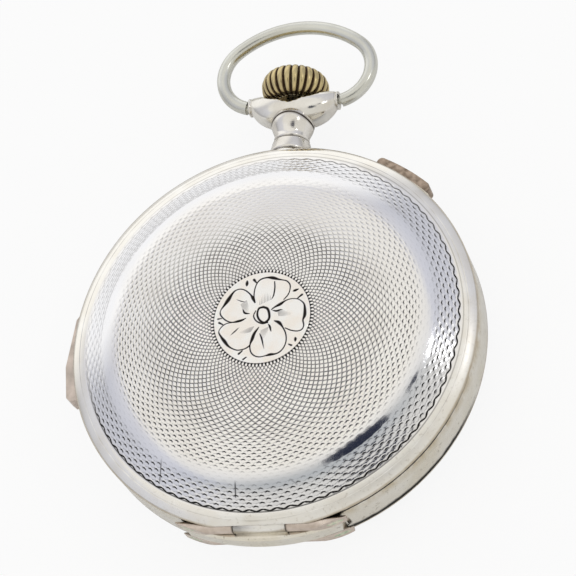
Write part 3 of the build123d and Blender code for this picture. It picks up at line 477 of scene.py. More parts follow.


# the finish: cream silver, with painted shade in the cuts: grey lines that turn black where they are deep and
# unworn
turned_silver, at = new_finish("engine_turned_silver", Metallic=1.0)
x, y = xyz(at)[:2]
radius = from_axis(x, y)
angle = y.math("ARCTAN2", x)
cut, wear, crest = (drawn(at, name) for name in ("cut", "wear", "crest"))
cloud = tarnish(at, 0.14, 0.68)
shade = cloud.mixed((0.92, 0.90, 0.87), (0.87, 0.84, 0.80))
# painted shade: 1 on the hinge's side, where the cuts are drawn darker
below = (angle + 1.35).math("COSINE").rise(-0.8, 0.8)
patchy = noise(at, 0.9, 3.0).rise(0.2, 0.75) * 0.35 + 0.8
# painted shade: farther out only the crests of the waves are dark, but the last ring is dark all round
flank = 1 - radius.rise(12.5, 18.0) * (1 - crest.rise(0.5, 0.9)) * (1 - radius.rise(25.46, 25.48))
# painted shade: beyond 13 mm the cuts darken toward the hinge and lighten away from it, and they darken near
# the medallion
deep = radius.rise(13.0, 16.0) * (below * 0.6 - 0.18) + 0.88 + (1 - radius.rise(6.9, 7.5)) * 0.4
# the painted shade in the cuts, and the border line, fade nearly away on the side away from the hinge
far_side_fade = radius.rise(20.0, 22.5) * (angle - 2.5).math("COSINE").rise(0.4, 0.75)
# painted shade in the cuts, faded where worn and on the far side; the teeth, scratches and border line join
# it below
cut_shade_and_marks = cut.rise(0.0, 0.5) * flank * deep * patchy * (1 - wear * 0.94) * (1 - far_side_fade * 0.85)
cut_shade_and_marks = cut_shade_and_marks.math("MINIMUM", 1.0)
# a row of small dark teeth round the medallion
teeth = (angle * LOBES).math("COSINE") * 0.28 + 0.24 + DISC_R - radius
cut_shade_and_marks = cut_shade_and_marks.math("MAXIMUM", teeth.rise(-0.04, 0.04))
for (ax, ay), (bx, by), darkest in SCRATCHES:
    reach = hypot(bx - ax, by - ay)
    along = ((x - ax) * (bx - ax) + (y - ay) * (by - ay)) / reach ** 2
    off = ((x - ax) * (by - ay) - (y - ay) * (bx - ax)) / reach
    scratch = off.hump(0.0, 0.10) * along.rise(0.0, 0.3) * (1 - along.rise(0.9, 1.0))
    cut_shade_and_marks = cut_shade_and_marks.math("MAXIMUM", scratch * darkest)
cut_shade_and_marks = cut_shade_and_marks.math("MAXIMUM", border_line(x, y) * (1 - far_side_fade * 0.8))
# painted reflection: a bluish sheen on the shoulder, and a darker blue-grey one beside the hinge
painted_blue_sheen = radius.rise(20.6, 22.2) * (1 - radius.rise(25.2, 26.0)) * (noise(at, 0.5, 3.0) * 0.5 + 0.75)
shade = (painted_blue_sheen * 0.6).mixed(shade, (0.81, 0.82, 0.86))
# painted reflection: darker blue-grey on the shoulder beside the hinge
painted_dark_reflection = (angle + 1.15).math("COSINE").rise(0.55, 0.95) * radius.hump(22.9, 0.75)
shade = (painted_dark_reflection * 0.75).mixed(shade, (0.50, 0.54, 0.60))
shade = cut_shade_and_marks.mixed(shade, (0.02, 0.019, 0.018))
fine, height = polish(at, 0.4)
feed(turned_silver, Base_Color=shade, Roughness=cut_shade_and_marks * 0.4 + fine * 0.03 + cloud * 0.03 + 0.1 - wear * 0.035,
     Normal=relief(height, 0.2))

# the rim: mirror-bright, but matt, cream and speckled on the hinge's side, with a dark turned line
rim_silver, at = new_finish("rim_silver", Metallic=1.0)
x, y = xyz(at)[:2]
radius = from_axis(x, y)
worn = (y.math("ARCTAN2", x) + 1.0).math("COSINE").rise(0.2, 0.8)
cloud = tarnish(at, 0.3)
specks = noise(at, 2.2, 5.0).rise(0.58, 0.72)
shade = cloud.mixed((0.92, 0.90, 0.85), (0.86, 0.82, 0.74))
shade = (specks * worn * 0.35).mixed(shade, (0.45, 0.40, 0.32))
ring = (border_line(x, y) + radius.hump(RIM_R + 0.75, 0.05) * cloud * 0.5).math("MINIMUM", 1.0)
shade = (ring * 0.85).mixed(shade, (0.04, 0.035, 0.03))
edge = radius.rise(27.75, 27.95) * (noise(at, 0.7, 4.0) * 0.9 + 0.3)
shade = (edge * 0.8).mixed(shade, (0.40, 0.31, 0.18))
fine, height = polish(at, 0.4, 0.1)
height = height + specks * worn * -0.6 + (radius * LATHE_LINES).math("SINE") * 0.06
feed(rim_silver, Base_Color=shade, Roughness=worn * 0.32 + fine * 0.04 + cloud * 0.03 + 0.05,
     Normal=relief(height))
inside_silver = metal("inside_silver", (0.90, 0.88, 0.85), (0.84, 0.80, 0.74), 0.11, 0.3, turned=0.5)

SHEET_SIZES = {"Waves": LOBES, "Steps": LOBE_STEPS, "Rings": RINGS, "First Radius": CUT_FROM,
               "Last Radius": RIM_R, "Pitch": RING_PITCH, "Wave": WAVE, "Cut Width": CUT_WIDTH,
               "Cut Depth": CUT_DEPTH, "Finish": turned_silver}


def all_round(count):
    """That many directions, evenly round a circle."""
    return [2 * pi * i / count for i in range(count)]


def join(form, near, far, material=0, smooth=True):
    """Adds the faces between two closed rows of points. A row may be one point, many times."""
    for i in range(len(near)):
        j = (i + 1) % len(near)
        face = form.faces.new(list(dict.fromkeys((near[i], near[j], far[j], far[i]))))
        face.material_index = material
        face.smooth = smooth


def turned(form, profile, columns, material, smooth=True):
    """Adds a surface turned round the watch's axis from (radius, height) points."""
    rows = []
    for r, height in profile:
        if r < 1e-6:
            rows.append([form.verts.new((0, 0, height))] * columns)
        else:
            rows.append([form.verts.new((r * cos(a), r * sin(a), height)) for a in all_round(columns)])
    for near, far in zip(rows, rows[1:]):
        join(form, near, far, material, smooth)
    return rows


def tube(form, y, z, outer, inner, half, material):
    """Adds a closed tube along X, with its wall between two radii."""
    loops = [[form.verts.new((x, y + r * cos(a), z + r * sin(a))) for a in all_round(32)]
             for x, r in ((-half, inner), (-half, outer), (half, outer), (half, inner))]
    for k in range(4):
        join(form, loops[k], loops[(k + 1) % 4], material, k in (1, 3))


def finished(form, name, materials, body, replaces=()):
    """Puts a mesh drawn in millimetres in its place as a piece that rides on a body."""
    bmesh.ops.remove_doubles(form, verts=form.verts, dist=0.0004)
    bmesh.ops.recalc_face_normals(form, faces=form.faces)
    bmesh.ops.translate(form, verts=form.verts, vec=(0, 0, MIDDLE))
    bmesh.ops.scale(form, verts=form.verts, vec=(MM, MM, MM))
    mesh = bpy.data.meshes.new(name)
    form.to_mesh(mesh)
    form.free()
    for material in materials:
        mesh.materials.append(material)
    piece = bpy.data.objects.new(name, mesh)
    bpy.context.scene.collection.objects.link(piece)
    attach(piece, body)
    if replaces:
        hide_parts(*replaces)


sheet = grown("engine_turned_sheet", engine_turning(), SHEET_SIZES)


def turn_over(form):
    """Turns a form for the back cover's side into one for the front cover's."""
    bmesh.ops.scale(form, verts=form.verts, vec=(1, 1, -1))
    bmesh.ops.reverse_faces(form, faces=form.faces)


def cover(name):
    """A whole cover as one closed shell: the cut sheet of material 0, the rim, seat and knuckle of
    material 1, and the inside of material 2."""
    form = bmesh.new()
    form.from_mesh(sheet)
    for face in form.faces:
        face.material_index = 0
        face.smooth = True
    seat = CUT_FROM - SEAT_GAP
    turned(form, [(0, SEAT_Z), (4, SEAT_Z), (seat, SEAT_Z), (seat, cover_height(seat))], COLUMNS, 1)
    steps = 9
    outside = [(r, cover_height(r)) for r in (RIM_R + (BAND_R - RIM_R) * i / steps for i in range(steps + 1))]
    for side, deep in ((-1, 0), (0, RIM_GROOVE_DEPTH), (1, 0)):
        r = RIM_GROOVE_R + side * RIM_GROOVE_HALF
        outside.append((r, cover_height(r) - deep))
    turned(form, sorted(outside) + [(BAND_R, EDGE_Z)], COLUMNS, 1)
    turned(form, INSIDE, COLUMNS, 2)
    for vertex in form.verts:
        radius = hypot(vertex.co.x, vertex.co.y)
        if radius > FILED_FROM and vertex.co.y < -20:
            limit = min(BAND_R, HINGE_CUT_Y * radius / -vertex.co.y)
            filed = FILED_FROM + (radius - FILED_FROM) * (limit - FILED_FROM) / (BAND_R - FILED_FROM)
            vertex.co.x *= filed / radius
            vertex.co.y *= filed / radius
    tube(form, HINGE_Y, HINGE_Z, KNUCKLE_R, PIN_HOLE_R, KNUCKLE_HALF, 1)
    # a web joins the knuckle to the cover
    web = bmesh.ops.create_cube(form, size=1.0)["verts"]
    bmesh.ops.scale(form, verts=web, vec=(2 * KNUCKLE_HALF, 0.8, 0.55))
    bmesh.ops.translate(form, verts=web, vec=(0, HINGE_Y + 0.2, 2.72))
    for face in {f for v in web for f in v.link_faces}:
        face.material_index = 1
    if name == "front_cover":
        turn_over(form)
    finished(form, name + "_engine_turned", [turned_silver, rim_silver, inside_silver],
             name, (name,))


cover("back_cover")
cover("front_cover")

# ---- Dial ----
# White vitreous enamel on copper, fired until it flowed, so that its surface is glassy and waves a
# little. The numbers and rings were painted in black enamel and fired again.
enamel, at = new_finish("white_enamel", Roughness=0.12, Coat_Weight=0.5)
feed(enamel, Base_Color=noise(at, 0.3, 3.0).mixed((0.92, 0.91, 0.87), (0.88, 0.87, 0.83)),
     Normal=relief(noise(at, 0.5), 0.2, 0.05))
dress(enamel, "dial")

# black enamel paint, a hair proud of the dial
paint, at = new_finish("black_enamel", Coat_Weight=0.5)
feed(paint, Base_Color=noise(at, 1.5, 3.0).mixed((0.015, 0.015, 0.018), (0.04, 0.04, 0.045)),
     Roughness=noise(at, 3.0, 2.0) * 0.1 + 0.15)
DIAL_FACE, PAINT = -3.5, 0.015
SECONDS_AT = -11.5
# for each ring of marks: its centre along X, how many marks, their radius, length and width
TRACKS = ((0.0, 300, 21.5, 0.5, 0.05), (0.0, 60, 21.4, 0.8, 0.11), (0.0, 12, 21.3, 1.0, 0.34),
          (SECONDS_AT, 60, 4.35, 0.35, 0.05), (SECONDS_AT, 12, 4.25, 0.55, 0.12))
# thin circles: centre along X and radius, and half their width
CIRCLES = ((0.0, 21.8), (0.0, 21.2), (SECONDS_AT, 4.55), (SECONDS_AT, 2.9))
CIRCLE_HALF = 0.04
# the numbers of the hours and of the seconds: how far from their centre, and their height
HOUR_R, HOUR_SIZE, SECOND_R, SECOND_SIZE = 17.6, 5.0, 3.55, 1.3


def dial_marks():
    """The tree that sets marks round a circle, each pointing to its centre."""
    tree = bpy.data.node_groups.new("dial_marks", "GeometryNodeTree")
    put = named_inputs(tree, {"Marks": 60, "Radius": 1.0, "Length": 1.0, "Width": 1.0, "Centre": 0.0,
                              "Face": 0.0, "Finish": paint})
    line = put["Marks"]
    ring = line.node("GeometryNodeMeshCircle", {}, {"Vertices": put["Marks"], "Radius": put["Radius"]})
    size = line.node("ShaderNodeCombineXYZ", {}, {"X": put["Length"], "Y": put["Width"], "Z": PAINT})
    mark = line.node("GeometryNodeMeshCube", {}, {"Size": size})
    turn = line.node("GeometryNodeInputIndex") * (2 * pi) / put["Marks"]
    turn = line.node("ShaderNodeCombineXYZ", {}, {"Z": turn})
    marks = line.node("GeometryNodeInstanceOnPoints", {}, {
        "Points": ring, "Instance": mark, "Rotation": turn})
    move = line.node("ShaderNodeCombineXYZ", {}, {"X": put["Centre"], "Z": put["Face"]})
    marks = line.node("GeometryNodeTransform", {}, {"Geometry": marks, "Translation": move})
    return ended(tree, marks, put["Finish"])


def painted_number(form, number, x, y, size):
    """Adds a number that stands upright for someone who faces the dial with twelve at the top."""
    curve = bpy.data.curves.new("number", "FONT")
    curve.body = str(number)
    curve.size, curve.extrude, curve.resolution_u = size, PAINT / 2, 4
    curve.align_x, curve.align_y = "CENTER", "CENTER"
    holder = bpy.data.objects.new("number", curve)
    bpy.context.scene.collection.objects.link(holder)
    ready = holder.evaluated_get(bpy.context.evaluated_depsgraph_get())
    mesh = bpy.data.meshes.new_from_object(ready)
    bpy.data.objects.remove(holder)
    middle = (min(v.co.y for v in mesh.vertices) + max(v.co.y for v in mesh.vertices)) / 2
    mesh.transform(Matrix(((0, 1, 0, x - middle), (1, 0, 0, y), (0, 0, -1, DIAL_FACE), (0, 0, 0, 1))))
    form.from_mesh(mesh)


marking = dial_marks()
form = bmesh.new()
for centre, count, radius, long, wide in TRACKS:
    form.from_mesh(grown("dial_track", marking, {
        "Marks": count, "Radius": radius, "Length": long, "Width": wide, "Centre": centre,
        "Face": DIAL_FACE, "Finish": paint}))
for centre, radius in CIRCLES:
    low, high, top = radius - CIRCLE_HALF, radius + CIRCLE_HALF, DIAL_FACE - PAINT
    side = [(low, DIAL_FACE), (low, top), (high, top), (high, DIAL_FACE), (low, DIAL_FACE)]
    rows = turned(form, side, 180, 0, False)
    bmesh.ops.translate(form, verts=[v for row in rows for v in row], vec=(centre, 0, 0))
for hour in (1, 2, 3, 4, 5, 7, 8, 9, 10, 11, 12):
    turn = radians(30 * hour)
    painted_number(form, hour, HOUR_R * cos(turn), HOUR_R * sin(turn), HOUR_SIZE)
for second in (15, 30, 45, 60):
    turn = radians(6 * second)
    painted_number(form, second, SECONDS_AT + SECOND_R * cos(turn), SECOND_R * sin(turn), SECOND_SIZE)
finished(form, "dial_paint", [paint], "case")

# ---- Medallions ----
# A polished disc left plain in the middle of each cover and then engraved by hand with a wild rose:
# every line is cut with a graver that is pressed in and lifted, so it swells and thins.
DISC_TOP, DISC_FOOT, DISC_EDGE = 7.7, 7.45, 0.04
LINE_DEPTH, SHADING_DEPTH = 0.08, 0.01
# each stroke of the graver: x, y and half its width along it
PETAL_LINES = (
    ((-1.1, 2.25, .07), (-1.3, 3.15, .06), (-1.25, 4.25, .06), (-.95, 5.15, .06), (-.4, 5.65, .07),
     (.4, 5.8, .09), (1.15, 5.7, .17), (1.9, 5.45, .1), (2.5, 5.3, .06), (3.1, 5.1, .06), (3.55, 4.55, .06),
     (3.6, 3.9, .06), (3.4, 3.1, .06), (2.85, 2.4, .05)),
    ((1.25, 1.05, .05), (1.7, 1.4, .08), (2.4, 1.75, .15), (3.05, 2.2, .07), (3.85, 2.45, .05),
     (4.75, 2.35, .05), (5.25, 2.05, .05), (5.65, 1.6, .07), (5.8, .95, .12), (5.85, -.05, .16),
     (5.65, -.75, .08), (5.8, -1.5, .06), (5.6, -2.1, .06), (5, -2.3, .06), (4.15, -2.15, .06),
     (3.3, -1.75, .05)),
    ((1.75, -.6, .05), (2.4, -.9, .16), (2.95, -1.6, .07), (3.4, -2.5, .06), (3.55, -3.5, .06),
     (3.35, -4.4, .06), (2.85, -5.1, .06), (2.2, -5.4, .08), (1.5, -5.45, .14), (.85, -5.6, .06),
     (0, -5.7, .06), (-.7, -5.45, .06), (-1.2, -4.85, .06), (-1.35, -3.9, .07), (-1.1, -3.05, .16),
     (-.85, -2.25, .14), (-.3, -1.4, .04)),
    ((-4.05, -.5, .04), (-4.85, -.6, .05), (-5.5, -1.1, .05), (-5.8, -1.75, .05), (-5.4, -2.5, .1),
     (-4.9, -3.15, .16), (-4.35, -3.85, .1), (-3.7, -4.3, .06), (-3, -4.55, .06), (-2.15, -4.45, .06),
     (-1.55, -4.15, .06), (-1.3, -3.7, .06)),
    ((-1.1, 2.2, .05), (-1.4, 2.85, .15), (-1.8, 3.45, .07), (-2.45, 4.05, .06), (-3.15, 4.35, .06),
     (-3.8, 4.25, .06), (-4.3, 3.8, .1), (-4.85, 2.85, .2), (-5.4, 2, .1), (-5.75, 1.45, .05),
     (-5.8, .9, .06), (-5.45, .35, .06), (-4.8, -.2, .06), (-4.05, -.45, .06), (-3.2, -.35, .13),
     (-2.65, -.2, .1), (-2.15, .05, .03)))
HEART_LINES = (
    ((.1, 1.5, .12), (-.5, 1.3, .1), (-.65, .45, .1), (-.3, -.35, .1), (.4, -.8, .12), (.95, -.35, .12),
     (1, .35, .12), (.7, 1.2, .12), (.1, 1.5, .12)),
    ((-.9, 1, .05), (-1.15, .3, .06), (-.75, -.45, .06), (.1, -.9, .08), (.85, -.8, .06)))
FOLD_LINES = (
    ((1.4, 5.15, .05), (1.5, 4.25, .07), (1.4, 3.15, .07), (1.15, 2.55, .03)),
    ((1.4, .95, .03), (1.95, .8, .1), (2.45, .95, .06), (2.85, .95, .02)),
    ((.95, -1, .03), (1.2, -1.45, .1), (1.4, -2.1, .04)),
    ((-.15, -2.3, .03), (.2, -3.1, .08), (.6, -4.6, .02)),
    ((-4.2, -2.4, .02), (-3.55, -1.8, .06), (-3, -1.25, .02)),
    ((-3.75, 2.9, .02), (-3, 2.55, .05), (-2.4, 2.4, .02)),
    ((-2.75, 1.45, .02), (-2.4, .8, .1), (-1.7, .65, .03)))
LEAF_LINES = (
    ((-2.4, 5.5, .06), (-2.4, 5.1, .15), (-2.4, 4.75, .05)), ((-1.45, 5.6, .13), (-1.1, 5.15, .06)),
    ((4.05, 3.55, .05), (4.35, 3.65, .13), (4.75, 3.8, .05)), ((4.7, 2.45, .05), (5.3, 2.95, .11)),
    ((4.75, -3.2, .05), (4.8, -3.45, .13), (4.8, -3.75, .05)), ((3.9, -4.1, .05), (4.3, -4.3, .1)),
    ((-2.8, -5.1, .1), (-2.35, -4.7, .06)), ((-2.15, -5.95, .08), (-1.75, -5.65, .06)),
    ((-5.85, -.4, .1), (-5.25, -.75, .05)), ((-6.05, .15, .08), (-5.55, .2, .05)))
# soft shading in each petal: where the first and last stroke start, and how far a stroke runs
HATCHES = (((-.4, 1.9), (1.0, 2.5), (-.05, .95)), ((2.1, .9), (2.3, .1), (1.3, -.15)),
           ((.95, -1.5), (.05, -1.9), (-.1, -1.1)), ((-1.0, -1.3), (-1.4, -2.0), (-1.2, -.25)),
           ((-3.0, 2.1), (-2.3, 2.6), (.5, -1.3)))


def smooth_line(points, steps):
    """Catmull-Rom curve through points of any number of values."""
    points = np.array(points, float)
    padded = np.vstack((2 * points[0] - points[1], points, 2 * points[-1] - points[-2]))
    made = []
    for a, b, c, d in zip(padded, padded[1:], padded[2:], padded[3:]):
        for t in np.arange(steps) / steps:
            made.append(0.5 * (2 * b + (c - a) * t + (2 * a - 5 * b + 4 * c - d) * t * t
                               + (3 * b - a - 3 * c + d) * t ** 3))
    made.append(points[-1])
    return np.array(made)


def depth_at(spots, strokes):
    """How deep the graver went at each spot: 1 in the middle of a cut, 0 beside it, less where it is thin."""
    depth = np.zeros(len(spots))
    for stroke in strokes:
        curve = smooth_line(stroke, 4)
        for (ax, ay, aw), (bx, by, bw) in zip(curve, curve[1:]):
            along = np.array((bx - ax, by - ay))
            share = np.clip(((spots - (ax, ay)) @ along) / max(along @ along, 1e-9), 0, 1)
            gap = np.hypot(spots[:, 0] - ax - share * along[0], spots[:, 1] - ay - share * along[1])
            width = np.maximum(1.2 * (aw + share * (bw - aw)), 0.01)
            depth = np.maximum(depth, np.clip(1.5 - gap / width, 0, 1) * np.minimum(1, width / 0.065))
    return depth


def hatching():
    """The fine strokes of the shading, longest in the middle of each patch."""
    strokes, count = [], 8
    for (ax, ay), (bx, by), (dx, dy) in HATCHES:
        for i in range(count):
            share = i / (count - 1)
            x, y, long = ax + share * (bx - ax), ay + share * (by - ay), 0.8 + 0.6 * sin(pi * share)
            strokes.append(((x, y, 0.045), (x + dx * long / 2, y + dy * long / 2, 0.035),
                            (x + dx * long, y + dy * long, 0.015)))
    return strokes


engraved, at = new_finish("engraved_silver", Metallic=1.0)
cut, fold = drawn(at, "cut"), drawn(at, "fold")
cloud = noise(at, 0.4, 3.0).rise(0.4, 0.6)
shade = cloud.mixed((0.94, 0.93, 0.91), (0.93, 0.88, 0.82))
shade = (fold * (noise(at, 1.2, 2.0) * 0.7 + 0.4)).mixed(shade, (0.22, 0.21, 0.21))
shade = cut.rise(0.1, 0.55).mixed(shade, (0.025, 0.022, 0.02))
fine, height = polish(at, 0.4)
feed(engraved, Base_Color=shade, Roughness=cut * 0.4 + fold * 0.15 + fine * 0.05 + 0.12,
     Normal=relief(height, 0.2))


def medallion(name, body):
    """A disc with its strokes cut into its top."""
    rings, columns, wide = 110, 480, DISC_R + DISC_EDGE
    form = bmesh.new()
    profile = [(DISC_R * i / rings, DISC_TOP) for i in range(rings + 1)]
    turned(form, profile + [(wide, DISC_TOP - DISC_EDGE), (wide, DISC_FOOT), (0, DISC_FOOT)], columns, 0)
    spots = np.array([(v.co.x, v.co.y) for v in form.verts])
    cuts = depth_at(spots, PETAL_LINES + HEART_LINES + FOLD_LINES + LEAF_LINES)
    folds = depth_at(spots, hatching())
    cut_layer = form.verts.layers.float.new("cut")
    fold_layer = form.verts.layers.float.new("fold")
    for vertex, cut, fold in zip(form.verts, cuts, folds):
        if vertex.co.z > DISC_TOP - DISC_EDGE / 2:
            vertex[cut_layer] = cut
            vertex[fold_layer] = fold
            vertex.co.z -= LINE_DEPTH * cut + SHADING_DEPTH * fold
    if body == "front_cover":
        turn_over(form)
    finished(form, name, [engraved], body)


medallion("back_medallion", "back_cover")
medallion("front_medallion", "front_cover")

# ---- Cuvette ----
# The inner dust cover, thin silver polished all over with fine turned lines.
dress(inside_silver, "cuvette")

# ---- Cover hinges ----
# Each cover turns on a pin through three knuckles. The band's knuckles are of a low gilt alloy, worn
# pinkish, and verdigris has crept out round the pins' ends.
rose_gilt, at = new_finish("rose_gilt", Metallic=1.0)
x = xyz(at)[0]
cloud = tarnish(at, 0.7)
shade = cloud.mixed((0.78, 0.68, 0.60), (0.55, 0.46, 0.39))
specks = noise(at, 2.6, 4.0).rise(0.25, 0.65)
# black where the band's knuckles meet the cover's, and dirt with painted shade in the corners along the rim
dirt_and_shade = corners(at, 1.2, 0.8) * (specks * 0.6 + 0.7)
dirt_and_shade = dirt_and_shade + (x * x).math("SQRT").hump(KNUCKLE_HALF + 0.05, 0.2) * 0.9
shade = dirt_and_shade.math("MINIMUM", 1.0).mixed(shade, (0.02, 0.015, 0.01))
fine, height = polish(at)
feed(rose_gilt, Base_Color=shade, Roughness=cloud * 0.07 + fine * 0.05 + 0.24, Normal=relief(height))
dress(rose_gilt, "hinge_knuckles")
dress(metal("pin_metal", (0.85, 0.82, 0.66), (0.38, 0.52, 0.36), 0.25, 1.2, (0.03, 0.14, 0.08),
            clouds=1.6), "back_hinge_pin", "front_hinge_pin")

# ---- Pendant and bow ----
# Silver turned and filed to shape and soldered to the band: a collar, a waist and a ball, which
# carries the yoke. The yoke's top is dished to clear the crown. The bow is drawn wire with its ends
# filed to pivots, which turn in the yoke's ears.
SIDES = 96
# the neck's outline: radius and place along the pendant
NECK_SIDE = ((3.3, 27.0), (3.3, 28.05), (2.9, 28.2), (2.84, 28.35), (2.98, 28.45), (2.95, 28.8),
             (2.66, 30.15), (2.58, 30.37), (2.36, 30.41), (2.34, 30.51), (2.5, 30.63), (2.5, 30.85),
             (2.44, 31.15), (2.48, 31.55), (2.7, 32.05), (2.92, 32.6), (3.04, 33.2), (3.05, 33.7),
             (2.9, 34.4), (2.4, 35.1), (1.6, 35.1), (1.6, 27.0), (3.3, 27.0))
COLLAR_GROOVE_Y, WAIST_GROOVE_Y = 28.28, 30.45
# the arch where the yoke sits on the ball, and the lip between its ears: lowest place, rise and reach
ARCH_LOW, ARCH_RISE, ARCH_HALF = 32.95, 1.05, 2.95
LIP_LOW, LIP_RISE, LIP_HALF = 35.75, 0.2, 3.6
# along the yoke: x, the section's middle height, half its height and half its thickness
YOKE_SIDE = ((0, 35.8, 2.5, 2.78), (1.6, 35.8, 2.47, 2.74), (3, 35.8, 2.38, 2.6), (4.3, 36.0, 2.1, 2.22),
             (5.3, 36.35, 1.74, 1.76), (6.0, 36.75, 1.32, 1.32), (6.15, 36.82, 1.16, 1.16),
             (6.3, 36.82, 1.26, 1.26), (6.5, 36.82, 1.24, 1.24))
# its corners take near-black dirt with painted shade, darkest in the dish under the crown
pendant_silver = metal("pendant_silver", (0.87, 0.85, 0.80), (0.72, 0.68, 0.61), 0.1, 1.4,
                       (0.02, 0.014, 0.01), clouds=0.3)
dress(metal("bow_silver", (0.72, 0.72, 0.66), (0.60, 0.59, 0.53), 0.2, 0.6), "bow")

# the neck's own finish has dark lines, dirt with painted shade, in its turned grooves and along the seam
# under the yoke
neck_silver, at = new_finish("neck_silver", Metallic=1.0)
x, y = xyz(at)[:2]
cloud = tarnish(at, 0.3)
shade = cloud.mixed((0.86, 0.83, 0.78), (0.68, 0.64, 0.57))
seam = (y - ARCH_LOW - (1 - (x / ARCH_HALF) * (x / ARCH_HALF)) * ARCH_RISE).hump(0.0, 0.2)
dirt_and_shade = seam + y.hump(COLLAR_GROOVE_Y, 0.15) + y.hump(WAIST_GROOVE_Y, 0.12)
dirt_and_shade = dirt_and_shade * (noise(at, 1.2, 3.0) * 0.8 + 0.7)
shade = dirt_and_shade.math("MINIMUM", 1.0).mixed(shade, (0.05, 0.035, 0.025))
fine, height = polish(at)
feed(neck_silver, Base_Color=shade, Roughness=cloud * 0.12 + fine * 0.06 + dirt_and_shade * 0.3 + 0.12,
     Normal=relief(height + (y * 25.0).math("SINE") * 0.2))

CROWN_SIDE = ((2.7, 36.98), (3.3, 37.04), (3.85, 37.26), (4.25, 37.66), (4.57, 38.25), (4.76, 39.0),
              (4.76, 39.6), (4.6, 40.2), (4.3, 40.7), (3.9, 41.05), (3.3, 41.35), (2.2, 41.7), (1.1, 41.93),
              (0, 42.0))
# the dish clears the crown's side by DISH_GAP outward, and downward by the crown's travel besides
DISH_GAP, CROWN_TRAVEL = 0.13, 0.5
DISH_SIDE = [(r + DISH_GAP, y - DISH_GAP - CROWN_TRAVEL) for r, y in ((2.5, 36.98), *CROWN_SIDE[1:6])]
WELL_R, WELL_Y = 1.75, 34.2
NO_LIMIT = 99.0


def skin(form, rows):
    """Joins closed rows of points, each of the same length, into a smooth surface."""
    rows = [[form.verts.new(point) for point in row] for row in rows]
    for near, far in zip(rows, rows[1:]):
        join(form, near, far)
    return rows


def neck():
    """The collar, waist and ball, turned round the pendant's axis and hollow for the sleeve."""
    form = bmesh.new()
    skin(form, [[(r * cos(a), y, r * sin(a)) for a in all_round(SIDES)] for r, y in NECK_SIDE])
    finished(form, "neck_turned", [neck_silver], "case", ("pendant_neck",))


def dish_height(x, z):
    """The highest that the yoke may reach under the crown."""
    reach = hypot(x, z)
    if reach < WELL_R:
        return WELL_Y
    return float(np.interp(reach, [r for r, _ in DISH_SIDE], [y for _, y in DISH_SIDE], right=NO_LIMIT))


def yoke():
    """A bar across the ball with an ear at each end, dished above and arched below."""
    form = bmesh.new()
    half = smooth_line(YOKE_SIDE[:6], 8)[:-1].tolist() + smooth_line(YOKE_SIDE[5:], 2).tolist()
    sides = [(-x, *rest) for x, *rest in half[:0:-1]] + half
    rows = []
    for x, middle, tall, deep in sides:
        arch = ARCH_LOW + ARCH_RISE * (1 - (x / ARCH_HALF) ** 2)
        lip = LIP_LOW + LIP_RISE * x * x if abs(x) < LIP_HALF else NO_LIMIT
        row = []
        for turn in all_round(SIDES):
            # a section a little squarer than an oval
            y, z = (abs(f(turn)) ** 0.86 * (1 if f(turn) > 0 else -1) for f in (sin, cos))
            y, z = middle + tall * y, deep * z
            row.append((x, max(min(y, lip, dish_height(x, z)), arch), z))
        rows.append(row)
    rows = skin(form, rows)
    for row in (rows[0], rows[-1]):
        form.faces.new(row)
    finished(form, "yoke_filed", [pendant_silver], "case", ("pendant_yoke",))


neck()
yoke()

# ---- Crown ----
# Gilt brass, pumpkin-shaped, with 26 rounded ribs. The gilding is bright on the ribs, and the
# grooves between them are painted dark brown.
RIBS, RIB_STEPS = 26, 10
WIDEST_Y, CAP_Y, GROOVE_DEPTH = 39.6, 40.9, 0.34
# the hollow below, and in it the bore for the pipe
HOLLOW = ((2.3, 37.0), (2.2, 37.4), (1.02, 37.4), (1.02, 39.03), (0.0, 39.03))
crown_gilt, at = new_finish("crown_gilt", Metallic=1.0)
groove = drawn(at, "groove")
specks = noise(at, 3.0, 4.0)
shade = noise(at, 0.7, 3.0).rise(0.3, 0.7).mixed((0.72, 0.58, 0.30), (0.56, 0.46, 0.25))
shade = (groove.rise(0.15, 0.5) * (specks * 0.4 + 0.8)).mixed(shade, (0.045, 0.024, 0.014))
feed(crown_gilt, Base_Color=shade, Roughness=groove * 0.35 + specks * 0.12 + 0.18,
     Normal=relief(specks, 0.4, 0.02))


def crown():
    """The ribs' grooves are wide and deep below the widest place, and run out on the domed top."""
    form, turns = bmesh.new(), all_round(RIBS * RIB_STEPS)
    groove_layer = form.verts.layers.float.new("groove")
    rows = []
    for radius, y in smooth_line(CROWN_SIDE, 3):
        below = min(1.0, max(0.0, (WIDEST_Y - y) / 3.0))
        share = min(1.0, max(0.0, (radius - 1.6) / 1.6)) if y > 41 else 1.0
        row = []
        for i, turn in enumerate(turns):
            part = abs((i % RIB_STEPS) / RIB_STEPS - 0.5) * 2
            groove = part ** (3.0 - 1.9 * below)
            size = max(radius - (GROOVE_DEPTH + 0.1 * below) * groove * share, 0.0)
            drop = 0.1 * groove * share if y > CAP_Y else 0.0
            vertex = form.verts.new((size * cos(turn), y - drop, size * sin(turn)))
            vertex[groove_layer] = groove * share
            row.append(vertex)
        rows.append(row)
    for r, y in HOLLOW:
        rows.insert(0, [form.verts.new((r * cos(turn), y, r * sin(turn))) for turn in turns])
    for near, far in zip(rows, rows[1:]):
        join(form, near, far)
    finished(form, "crown_ribbed", [crown_gilt], "crown", ("crown",))


crown()

# ---- Repeater slide and chronograph pusher ----
# Both are of the low gilt alloy. The slide is rubbed pinkish by the thumb, the pusher is darker and
# spotted, in a thin silver frame.
dress(metal("slide_gilt", (0.70, 0.60, 0.53), (0.48, 0.42, 0.37), 0.26, 0.9, clouds=0.5),
      "repeater_slide")
dress(metal("pusher_gilt", (0.48, 0.38, 0.30), (0.15, 0.11, 0.08), 0.26, 1.2, clouds=1.2),
      "chronograph_pusher")
dress(band_silver, "pusher_guard")

